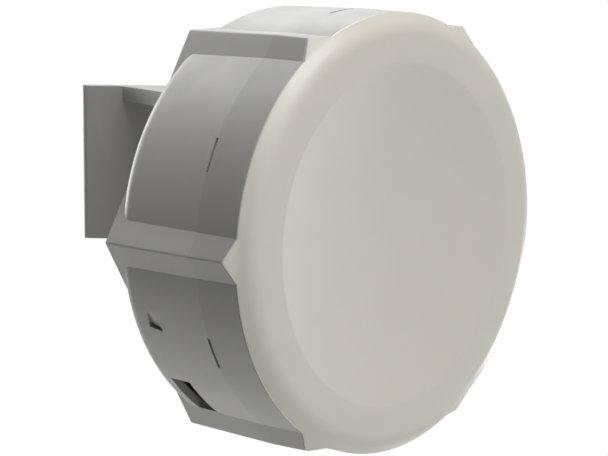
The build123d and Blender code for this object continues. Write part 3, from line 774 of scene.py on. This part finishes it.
def open_bay(body):
    """The ways through the bay's roof, the door's opening with its grooves, and the cable's way out."""
    roof = (BAY_TOP - 1, BAY_TOP + 3)
    jack_half_w, jack_front, jack_rear = 8.2, 34.6, 48.8
    cut(body, block(-jack_half_w, jack_half_w, jack_front, jack_rear, *roof))
    cut(body, rod(RESET_X, RESET_Y, 1.5, *roof, "z"))
    half_w = DOOR_HALF_W + DOOR_GAP
    cut(body, block(-half_w, half_w, DOOR_FRONT - DOOR_GAP, BACK + 1, BELOW, OPENING_TOP))
    groove_half_w = FLANGES_HALF_W + DOOR_GAP
    groove = block(-groove_half_w, groove_half_w, GROOVE_FRONT, BACK + 2, BELOW, OPENING_TOP)
    cut(body, keep(groove, disc(0, 0, INNER_R, 40, BACK + 1, FINE_STEPS)))
    arch_steps = 16
    arch = [math.pi * i / arch_steps for i in range(arch_steps + 1)]
    way = [(CABLE_HOLE_R * math.cos(t), CABLE_HOLE_Z + CABLE_HOLE_R * math.sin(t)) for t in arch]
    way += [(-CABLE_HOLE_R, -66), (CABLE_HOLE_R, -66)]
    cut(body, prism(way, DOOR_REAR - 4, BACK + 1))


def rear_housing():
    """The shell with the gasket's shelf, the bay, the bosses, the windows and the pry pockets."""
    body = housing_shell()
    front, rear = 5.5, 7.5
    shelf = ring(62.6, INNER_R + 0.5, front, rear)
    notches = [ring_sector(a, 5.2, 64.9, INNER_R + 1, front - 0.5, rear + 0.5) for a in SLOT_ANGLES]
    add(body, cut(shelf, join(notches)))
    add(body, cable_bay())
    add_bosses(body)
    open_bay(body)

    inside = INNER_R - 2
    slots = [ring_sector(a, SLOT_HALF, inside, SHELL_R + 1, SLOT_FRONT, SLOT_REAR) for a in SLOT_ANGLES]
    cut(body, join(slots))
    for left in (True, False):
        release_angle = RELEASE_ANGLE if left else 540 - RELEASE_ANGLE
        pry_angle = PRY_ANGLE if left else 540 - PRY_ANGLE
        cut(body, ring_sector(release_angle, RELEASE_HALF, inside, 72, RELEASE_FRONT, RELEASE_REAR, 12))
        cut(body, spin(pry_pocket(left), pry_angle))
    return body


def cable_door():
    """The sliding cover under the cable bay, with its flanges, cable notch and grip grooves."""
    very_fine = 360
    skin = keep(envelope(), block(-DOOR_HALF_W, DOOR_HALF_W, DOOR_FRONT, DOOR_REAR, BELOW, DOOR_TOP))
    cut(skin, disc(0, CABLE_HOLE_Z, CABLE_HOLE_R, DOOR_REAR - 3, DOOR_REAR + 1, 40))
    groove_r = SHELL_R_REAR - 0.55
    for y in GRIP_YS:
        groove = block(-9, 9, y, y + 0.8, BELOW, -60)
        cut(skin, cut(groove, disc(0, 0, groove_r, y - 1, y + 2, very_fine)))
    cut(skin, disc(0, 0, DOOR_INNER_R, 0, DOOR_REAR - DOOR_LIP, very_fine))
    rear = DRUM_BACK - WALL - DOOR_GAP
    flange = block(-FLANGES_HALF_W, FLANGES_HALF_W, DOOR_FRONT - 2, rear, -70, DOOR_TOP)
    keep(flange, ring(65.7, DOOR_INNER_R + 0.05, 10, rear + 2, very_fine))
    cut(flange, block(-14, 14, DOOR_FRONT + 1.5, rear + 10, BELOW, 0))
    return add(skin, flange)


# ---------------------------------------------------------------- radome
def dish_y(radius, front):
    """The dish's depth at a radius, for a flat ring at a height in front of the seam."""
    return -front + DISH_DEPTH - (DISH_R - math.sqrt(DISH_R ** 2 - radius ** 2))


def radome_profile():
    """Radius and depth of the radome's face: dish, eased crease, flat ring and rounding, up to the bevel."""
    start_r = CREASE_R - CREASE_EASE
    start_y = dish_y(start_r, FRONT)
    end_r = CREASE_R + CREASE_EASE
    profile = [(r, dish_y(r, FRONT)) for r in (6, 12, 18, 24, 30, 36, 41, 46, 50, start_r)]
    steps = 6
    for step in range(1, steps):
        t = step / steps
        r = (1 - t) ** 2 * start_r + 2 * t * (1 - t) * CREASE_R + t * t * end_r
        y = (1 - t) ** 2 * start_y + (1 - (1 - t) ** 2) * -FRONT
        profile.append((r, y))
    profile.append((end_r, -FRONT))
    profile.append((RIM_FLAT_R, -FRONT))
    return profile + rim_arc(RIM_ROUND, 14)[1:]


def rim_arc(radius, steps):
    """The arc between the flat ring and the bevel, as radius and depth."""
    turns = [math.radians(RIM_ANGLE * i / steps) for i in range(steps + 1)]
    return [(RIM_FLAT_R + radius * math.sin(t), RIM_ROUND - FRONT - radius * math.cos(t)) for t in turns]


def rim_rows(mesh, around, full):
    """Rows that run from the bevel over the corners' ears to the seam."""
    start_r, start_y = rim_arc(RIM_ROUND, 1)[1]
    rows = []
    for t in (0.5, 1.0):
        r = start_r + (SHELL_R - start_r) * t
        y = start_y + (-RIM_EDGE - start_y) * t
        rows.append(mesh.row([(r * math.cos(turn), y, r * math.sin(turn)) for turn in around]))
    for t in (0.5, 1.0):
        points = []
        for x, z in full:
            ear = math.hypot(x, z) - SHELL_R
            scale = (SHELL_R + ear * t) / (SHELL_R + ear)
            points.append((x * scale, -RIM_EDGE + EAR_SLOPE * ear * t, z * scale))
        rows.append(mesh.row(points))
    rows.append(mesh.row([(x, seam_y(x, z), z) for x, z in full]))
    return rows


def front_radome():
    """The dished cover as one shell, with the skirt that centres it and its snap arms."""
    mesh = Mesh()
    full = outline(SHELL_R, CORNER_R)
    around = [math.atan2(z, x) for x, z in full]

    def circle_row(r, y):
        return mesh.row([(r * math.cos(t), y, r * math.sin(t)) for t in around])

    rows = [circle_row(r, y) for r, y in radome_profile()]
    mesh.fan(rows[0], (0, -FRONT + DISH_DEPTH, 0))
    rows += rim_rows(mesh, around, full)
    inner_arc = rim_arc(RIM_ROUND - RADOME_T, 8)
    end_r, end_y = inner_arc[-1]
    rows.append(circle_row(end_r - end_y / math.tan(math.radians(RIM_ANGLE)), 0))
    rows += [circle_row(r, y) for r, y in reversed(inner_arc)]
    inner_front = FRONT - RADOME_T
    rows += [circle_row(r, dish_y(r, inner_front)) for r in (CREASE_R, 40, 25, 10)]
    mesh.loft(rows)
    mesh.fan(rows[-1], (0, -inner_front + DISH_DEPTH, 0))
    radome = mesh.build("front_radome")

    skirt = ring(63.8, 65.5, -2.0, 4.2)
    arms = join([snap_arm(angle) for angle in SLOT_ANGLES])
    return add(radome, skirt, arms)


def snap_arm(angle):
    """A tongue with a barb that springs into its window in the housing."""
    inner, outer, barb_r = 65.3, 66.9, 68.3
    barb = [(outer, SLOT_FRONT), (barb_r, SLOT_FRONT + 0.15), (barb_r, SLOT_REAR - 0.2), (outer, 17.2)]
    return spin(prism([(inner, -1.2), (outer, -1.2)] + barb + [(inner, 17.2)], -4.5, 4.5, "z"), angle)


# ---------------------------------------------------------------- pole bracket
def mirrored(points):
    """Points of the right half of an outline, then the same on the left in reverse."""
    return points + [(-x, y) for x, y in reversed(points)]


def wing_outline():
    """The V of the jaw in plan, with rounded tips."""
    wing = math.radians(JAW_ANGLE)
    inner_tip = (JAW_TIP_X - JAW_T * math.cos(wing), JAW_TIP_Y + JAW_T * math.sin(wing))
    flat_x = JAW_TIP_X - (JAW_TIP_Y - JAW_BOTTOM_Y) * math.tan(wing)
    inner_flat_y = JAW_BOTTOM_Y + JAW_T
    inner_flat_x = inner_tip[0] - (inner_tip[1] - inner_flat_y) * math.tan(wing)
    right = [(flat_x, JAW_BOTTOM_Y), (JAW_TIP_X, JAW_TIP_Y), inner_tip, (inner_flat_x, inner_flat_y)]
    radii = [2.0, JAW_TIP_ROUND, JAW_TIP_ROUND, 2.0]
    return rounded(mirrored(right), radii + radii[::-1], 8)


def flange_outline():
    """Top and bottom flanges in plan: waisted sides that run into the wings."""
    waist_x = JAW_TIP_X - (JAW_TIP_Y - WAIST_Y) * math.tan(math.radians(JAW_ANGLE))
    right = [(FLANGE_HALF_W, FLANGE_FRONT)]
    right += arc_through((FLANGE_HALF_W, FLANGE_FRONT), (24.8, 84), (waist_x, WAIST_Y), 10)
    right.append((4.0, 79.0))
    return mirrored(right)


def arc_through(start, middle, end, steps):
    """Points after the start of the arc through three points."""
    (ax, ay), (bx, by), (cx, cy) = start, middle, end
    scale = 2 * (ax * (by - cy) + bx * (cy - ay) + cx * (ay - by))
    a2, b2, c2 = ax * ax + ay * ay, bx * bx + by * by, cx * cx + cy * cy
    centre_x = (a2 * (by - cy) + b2 * (cy - ay) + c2 * (ay - by)) / scale
    centre_y = (a2 * (cx - bx) + b2 * (ax - cx) + c2 * (bx - ax)) / scale
    centre = Vector((centre_x, centre_y))
    arm = Vector(start) - centre
    turn = arm.angle_signed(Vector(end) - centre)
    return [tuple(centre + turned(arm, -turn * i / steps)) for i in range(1, steps + 1)]


def cheek(side):
    """One of the two plates that carry the bolt: an eye drawn out to the flanges, with strap windows."""
    reach = FLANGE_FRONT - PIVOT_Y
    distance = math.hypot(reach, JAW_HALF_H)
    lean = math.asin(reach / distance) + math.asin(EAR_R / distance)
    upper = math.pi - lean
    steps = 24
    eye = [upper + (2 * math.pi - 2 * upper) * i / steps for i in range(steps + 1)]
    points = [(reach, -JAW_HALF_H), (CHEEK_REAR, -JAW_HALF_H), (CHEEK_REAR, JAW_HALF_H), (reach, JAW_HALF_H)]
    points += [(EAR_R * math.cos(t), EAR_R * math.sin(t)) for t in eye]
    inner, outer = side * CHEEK_IN, side * CHEEK_OUT
    plate = prism([(PIVOT_Y + y, BRACKET_Z + z) for y, z in points], *sorted((inner, outer)), "x")
    trim = [(inner, 50), (outer, 50), (outer, 90.5), (inner, 85.0)]
    return keep(plate, prism(trim, BRACKET_Z - 30, BRACKET_Z + 30, "z"))


def strap_window(up):
    """A cutter for the hose clamp's way through both cheeks, above or below the bolt."""
    points = [(2.5, 11), (2.9, 20), (12, 20), (12, 11)]
    points = [(PIVOT_Y + y, BRACKET_Z + up * z) for y, z in points]
    return prism(points, -20, 20, "x")


def pole_yoke():
    """The jaw with its flanges and the two cheeks that carry the bolt."""
    low = BRACKET_Z - JAW_HALF_H
    high = BRACKET_Z + JAW_HALF_H
    yoke = prism(wing_outline(), low, high, "z")
    lower = prism(flange_outline(), low, low + FLANGE_T, "z")
    upper = prism(flange_outline(), high - FLANGE_T, high, "z")
    add(yoke, lower, upper)
    for side in (-1, 1):
        plate = cut(cheek(side), strap_window(1), strap_window(-1))
        add(yoke, plate)
    cut(yoke, rod(PIVOT_Y, BRACKET_Z, BOLT_R + 0.1, -20, 20, "x", 40))
    return soften(yoke, 0.45, 3)


def tilt_knuckle():
    """The plate on the housing's back, with two ribbed ears that turn on the pivot bolt."""
    half_w, half_h = KNUCKLE_HALF_W, KNUCKLE_HALF_H
    corners = [(-half_w, -half_h), (half_w, -half_h), (half_w, half_h), (-half_w, half_h)]
    plate = prism(rounded([(x, BRACKET_Z + z) for x, z in corners], [4] * 4, 8), BACK, BACK + KNUCKLE_T)
    root = BACK + 1
    eye_steps = 24
    eye = [math.radians(-90 + 180 * i / eye_steps) for i in range(eye_steps + 1)]
    rib_top = EAR_R - 0.5
    for x0, x1 in ((-EAR_OUT, -EAR_IN), (EAR_IN, EAR_OUT)):
        ear = [(root, -EAR_R)]
        ear += [(PIVOT_Y + EAR_R * math.cos(t), EAR_R * math.sin(t)) for t in eye]
        ear.append((root, EAR_R))
        add(plate, prism([(y, BRACKET_Z + z) for y, z in ear], x0, x1, "x"))
        for up in (1, -1):
            rib = [(BACK + 2, 16), (BACK + 3, 16), (PIVOT_Y - 6, rib_top), (BACK + 2, rib_top)]
            add(plate, prism([(y, BRACKET_Z + up * z) for y, z in rib], x0 + 0.3, x1 - 0.3, "x"))
    cut(plate, rod(PIVOT_Y, BRACKET_Z, BOLT_R + 0.08, -20, 20, "x", 48))
    cut(plate, join([disc(x, z, 2.2, BACK - 1, BACK + 5, 32) for x, z in knuckle_centres()]))
    return soften(plate, 0.4, 3)


# ---------------------------------------------------------------- fasteners
HEX_AF = 10.0             # across the flats
WASHER_T = 1.2
SEAT_X = CHEEK_OUT + WASHER_T
THREAD_PITCH = 1.0


def hex_prism(x0, x1, chamfer_high):
    """A hexagon along X at the pivot. Its low face has its corners turned off, and its high one may."""
    corner = HEX_AF / 2 / COS30
    points = circle(PIVOT_Y, BRACKET_Z, corner, SIDES)
    flat = HEX_AF / 2 - 0.15
    wide = corner + 0.5
    slope = 0.55
    cone = [(flat, x0), (wide, x0 + slope)]
    cone += [(wide, x1 - slope), (flat, x1)] if chamfer_high else [(wide, x1)]
    return keep(prism(points, x0, x1, "x"), lathe(cone, PIVOT_Y, BRACKET_Z, "x", 72))


def thread(start, end, radius, depth):
    """A profile of V grooves along a shank."""
    profile = []
    turns = int((end - start) / THREAD_PITCH)
    for turn_number in range(turns):
        x = start + turn_number * THREAD_PITCH
        profile += [(radius, x), (radius, x + 0.15), (radius - depth, x + 0.5), (radius, x + 0.85)]
    return profile


def pivot_bolt():
    """A hexagon-head bolt with a dished head and a thread on the nut's end."""
    thread_start = 12.0
    shank = [(BOLT_R - 0.05, -SEAT_X - 0.5), (BOLT_R - 0.05, thread_start)]
    shank += thread(thread_start, 22.4, BOLT_R, 0.42)
    shank += [(BOLT_R - 0.1, 22.5), (BOLT_R - 0.55, 23.0)]
    bolt = lathe(shank, PIVOT_Y, BRACKET_Z, "x", 40)
    head = hex_prism(-SEAT_X - 4.0, -SEAT_X, False)
    hollow = [(0.2, -SEAT_X - 3.6), (2.6, -SEAT_X - 3.7), (3.4, -SEAT_X - 4.3)]
    return add(cut(head, lathe(hollow, PIVOT_Y, BRACKET_Z, "x", 40)), bolt)


def pivot_nut():
    """A locking nut: its nylon ring sits in the round collar."""
    nut = hex_prism(SEAT_X, SEAT_X + 4.8, True)
    collar = [(3.9, 4.0), (4.4, 4.8), (4.4, 5.5), (4.2, 5.85), (3.7, 6.0)]
    collar = [(radius, SEAT_X + height) for radius, height in collar]
    add(nut, lathe(collar, PIVOT_Y, BRACKET_Z, "x", 48))
    return cut(nut, rod(PIVOT_Y, BRACKET_Z, BOLT_R + 0.02, 10, 30, "x", 40))


def flat_washer(x0):
    inner, outer, edge = 3.2, 6.0, 0.2
    x1 = x0 + WASHER_T
    profile = [(inner + edge, x0), (outer - edge, x0), (outer, x0 + edge), (outer, x1 - edge)]
    profile += [(outer - edge, x1), (inner + edge, x1), (inner, x1 - edge), (inner, x0 + edge)]
    return lathe(profile, PIVOT_Y, BRACKET_Z, "x", 56, closed=True)


def pan_screw(x, z):
    """A shank with a domed head that has a cross recess."""
    seat = BACK + KNUCKLE_T
    profile = [(M4_R, seat - 6), (M4_R, seat), (3.2, seat), (3.4, seat + 0.25), (3.4, seat + 0.9)]
    dome_steps = 6
    dome = [math.radians(90 * i / dome_steps) for i in range(1, dome_steps + 1)]
    profile += [(0.6 + 2.8 * math.cos(t), seat + 0.9 + 1.3 * math.sin(t)) for t in dome]
    screw = lathe(profile, x, z, "y", 40)
    for half_w, half_h in ((2.0, 0.42), (0.42, 2.0)):
        cut(screw, block(x - half_w, x + half_w, seat + 0.9, seat + 3, z - half_h, z + half_h))
    return screw


def ground_screw():
    """A slotted cheese-head screw on a toothed washer."""
    x, z = GROUND_X, GROUND_Z
    steps = 12 * 4
    star = []
    for i in range(steps):
        radius = 4.85 if i % 4 < 2 else 4.1
        t = 2 * math.pi * i / steps
        star.append((x + radius * math.cos(t), z + radius * math.sin(t)))
    washer = prism(star, BACK + 0.12, BACK + 1.0)
    profile = [(1.95, -6), (1.95, 0.8), (4.0, 0.9), (4.2, 1.1), (4.2, 3.0), (3.7, 3.6)]
    profile = [(radius, BACK + y) for radius, y in profile]
    screw = add(lathe(profile, x, z, "y", 48), washer)
    return cut(screw, block(x - 5, x + 5, BACK + 2.4, BACK + 4, z - 0.6, z + 0.6))


# ---------------------------------------------------------------- pieces
mesh_piece(front_radome(), "radome_shell", RADOME, "antenna_unit", "front_radome", slot="radome_cream")
mesh_piece(rear_housing(), "housing_shell", HOUSING, "antenna_unit", "rear_housing", slot="housing_grey")
mesh_piece(cable_door(), "sliding_cable_door", HOUSING, "door", "cable_door", slot="housing_grey")
mesh_piece(pole_yoke(), "v_jaw_yoke", BRACKET, "pole_bracket", "pole_yoke", slot="bracket_grey")

mesh_piece(tilt_knuckle(), "knuckle", BRACKET, "antenna_unit", "tilt_knuckle", slot="bracket_grey")
mesh_piece(pivot_bolt(), "m6_pivot_bolt", ZINC, "pole_bracket", "pivot_bolt", slot="steel_zinc")
mesh_piece(pivot_nut(), "m6_lock_nut", ZINC, "pole_bracket", "pivot_nut", slot="steel_zinc")
washers = join([flat_washer(-SEAT_X), flat_washer(CHEEK_OUT)])
mesh_piece(washers, "flat_washers", ZINC, "pole_bracket", "pivot_washers", slot="steel_zinc")
screws = join([pan_screw(x, z) for x, z in knuckle_centres()])
mesh_piece(screws, "plate_screws", ZINC, "antenna_unit", "knuckle_screws", slot="steel_zinc")
mesh_piece(ground_screw(), "earth_screw", ZINC, "antenna_unit", "ground_screw", slot="steel_zinc")

CAD_FINISH = {
    "ground_insert": (GOLD, 0.1),
    "radome_gasket": (RUBBER, 0.2),
    "light_guide": (CLEAR, 0.1),
    "reflector_pan": (ALUMINIUM, 0.2),
    "feed_board": (BOARD, 0.1),
    "patch_posts": (NYLON, 0.15),
    "reflector_screws": (ZINC, 0.15),
    "main_board": (BOARD, 0.1),
    "board_screws": (ZINC, 0.15),
    "shield_can": (TIN, 0.15),
    "processor": (CHIP, 0.12),
    "thermal_pad": (PAD, 0.1),
    "heat_sink": (ANODISED, 0.15),
    "memory_chip": (CHIP, 0.12),
    "line_transformer": (CHIP, 0.25),
    "status_leds": (LENS, 0.1),
    "ethernet_jack": (JACK, 0.2),
    "jack_contacts": (GOLD, 0.05),
    "reset_switch": (TIN, 0.15),
    "reset_plunger": (BUTTON, 0.25),
}
for number in range(1, 5):
    CAD_FINISH[f"patch_plate_{number}"] = (BRASS, 0.12)
for side in ("left", "right"):
    CAD_FINISH[f"antenna_lead_{side}"] = (JACKET, 0)
    CAD_FINISH[f"lead_plug_{side}"] = (GOLD, 0.1)


def dress(cad_node, material, edge):
    """Gives a CAD node its material and, with an edge in millimetres, rounds its sharp edges."""
    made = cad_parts[cad_node]
    for place in made.material_slots:
        place.material = material
    if edge:
        weld = made.modifiers.new("weld", "WELD")
        weld.merge_threshold = 2e-6
        flat = made.modifiers.new("flat", "DECIMATE")
        flat.decimate_type = "DISSOLVE"
        flat.angle_limit = math.radians(1.5)
        rim = made.modifiers.new("edges", "BEVEL")
        rim.limit_method = "ANGLE"
        rim.angle_limit = math.radians(38)
        rim.width = edge * MM
        rim.segments = 2


for cad_node, (material, edge) in CAD_FINISH.items():
    dress(cad_node, material, edge)


# ---------------------------------------------------------------- studio
def camera():
    """The camera of a long-lens product picture, 0.69 m from the drum and a little above it."""
    yaw = math.radians(-47.4139)
    pitch = math.radians(9.213)
    roll = math.radians(0.2449)
    distance, right_shift, up_shift = 0.6915412, -0.0273571, 0.0019765
    back = Vector((math.sin(yaw) * math.cos(pitch), -math.cos(yaw) * math.cos(pitch), math.sin(pitch)))
    right = Vector((math.cos(yaw), math.sin(yaw), 0))
    up = back.cross(right)
    x_axis = right * math.cos(roll) + up * math.sin(roll)
    y_axis = up * math.cos(roll) - right * math.sin(roll)
    data = bpy.data.cameras.new("camera")
    data.sensor_width = 36.0
    data.lens = 129.74
    made = bpy.data.objects.new("camera", data)
    bpy.context.scene.collection.objects.link(made)
    turn = Matrix((x_axis, y_axis, back)).transposed()
    place = UNIT_ORIGIN + back * distance + x_axis * right_shift + y_axis * up_shift
    made.matrix_world = Matrix.Translation(place) @ turn.to_4x4()
    bpy.context.scene.camera = made


BOX_REACH = 1.1           # metres from the drum's centre
BOX_SIZE = 0.6            # metres, square
FLOOR_R = 0.9             # metres
FLOOR_DROP = 0.28         # metres below the object
PAPER = (0.93, 0.93, 0.92)
WHITE = (1, 1, 1, 1)
SOFT_BOXES = (            # name, degrees round from the front towards +X, degrees up, watts
    ("high_front_box", 0, 65, 7.1),
    ("high_left_box", -20, 50, 2.6),
    ("front_box", 0, 35, 2.0),
    ("front_left_box", -45, 35, 0.4),
    ("back_right_box", 135, 35, 3.5),
    ("high_back_box", 180, 35, 5.0),
    ("level_back_box", 180, 5, 6.8),
    ("low_right_box", 90, -30, 19.6),
)


def soft_box(name, azimuth, height, power):
    """A square light that faces the drum's centre."""
    turn = math.radians(azimuth)
    tilt = math.radians(height)
    flat = math.cos(tilt)
    offset = Vector((math.sin(turn) * flat, -math.cos(turn) * flat, math.sin(tilt))) * BOX_REACH
    data = bpy.data.lights.new(name, "AREA")
    data.shape = "RECTANGLE"
    data.size = BOX_SIZE
    data.size_y = BOX_SIZE
    data.energy = power
    made = bpy.data.objects.new(name, data)
    bpy.context.scene.collection.objects.link(made)
    made.location = UNIT_ORIGIN + offset
    made.rotation_mode = "QUATERNION"
    made.rotation_quaternion = offset.to_track_quat("Z", "Y")


def room():
    """A white backdrop for the camera, whose glow also shows faintly in glossy surfaces."""
    world = bpy.data.worlds.new("studio")
    bpy.context.scene.world = world
    world.use_nodes = True
    tree = world.node_tree
    seen = node(tree, "ShaderNodeLightPath")
    mirrored = node(tree, "ShaderNodeMath", operation="MULTIPLY")
    mirrored.inputs[1].default_value = 0.42
    link(tree, seen.outputs["Is Glossy Ray"], mirrored.inputs[0])
    glow = tree.nodes["Background"]
    glow.inputs["Color"].default_value = WHITE
    link(tree, mirrored.outputs["Value"], glow.inputs["Strength"])
    backdrop = node(tree, "ShaderNodeBackground")
    backdrop.inputs["Color"].default_value = WHITE
    backdrop.inputs["Strength"].default_value = 1.0
    mix = node(tree, "ShaderNodeMixShader")
    link(tree, seen.outputs["Is Camera Ray"], mix.inputs["Fac"])
    link(tree, glow.outputs["Background"], mix.inputs[1])
    link(tree, backdrop.outputs["Background"], mix.inputs[2])
    link(tree, mix.outputs["Shader"], tree.nodes["World Output"].inputs["Surface"])


def one_sided(tree, surface):
    """Hides a surface from a camera behind it, and from nothing else."""
    side = node(tree, "ShaderNodeNewGeometry")
    ray = node(tree, "ShaderNodeLightPath")
    from_behind = node(tree, "ShaderNodeMath", operation="MULTIPLY")
    clear = node(tree, "ShaderNodeBsdfTransparent")
    mix = node(tree, "ShaderNodeMixShader")
    link(tree, side.outputs["Backfacing"], from_behind.inputs[0])
    link(tree, ray.outputs["Is Camera Ray"], from_behind.inputs[1])
    link(tree, from_behind.outputs["Value"], mix.inputs["Fac"])
    link(tree, surface.outputs["BSDF"], mix.inputs[1])
    link(tree, clear.outputs["BSDF"], mix.inputs[2])
    link(tree, mix.outputs["Shader"], tree.nodes["Material Output"].inputs["Surface"])


def paper_floor():
    """A round sheet of pale paper, which a camera below it sees through to the underside."""
    mesh = bpy.data.meshes.new("floor")
    points = [(x, y, 0) for x, y in circle(0, 0, FLOOR_R, 96)]
    mesh.from_pydata(points, [], [tuple(range(len(points)))])
    floor = bpy.data.objects.new("floor", mesh)
    bpy.context.scene.collection.objects.link(floor)
    floor.location = (UNIT_ORIGIN.x, UNIT_ORIGIN.y, CAD_BOX[0].z - FLOOR_DROP)
    paint, tree, surface = shader("floor_paper", PAPER, 0.85)
    tint(tree, surface, PAPER, noise(tree, 6.0), 0.01)
    one_sided(tree, surface)
    mesh.materials.append(paint)


camera()
room()
for box in SOFT_BOXES:
    soft_box(*box)
paper_floor()
bpy.context.scene.view_settings.view_transform = "Standard"
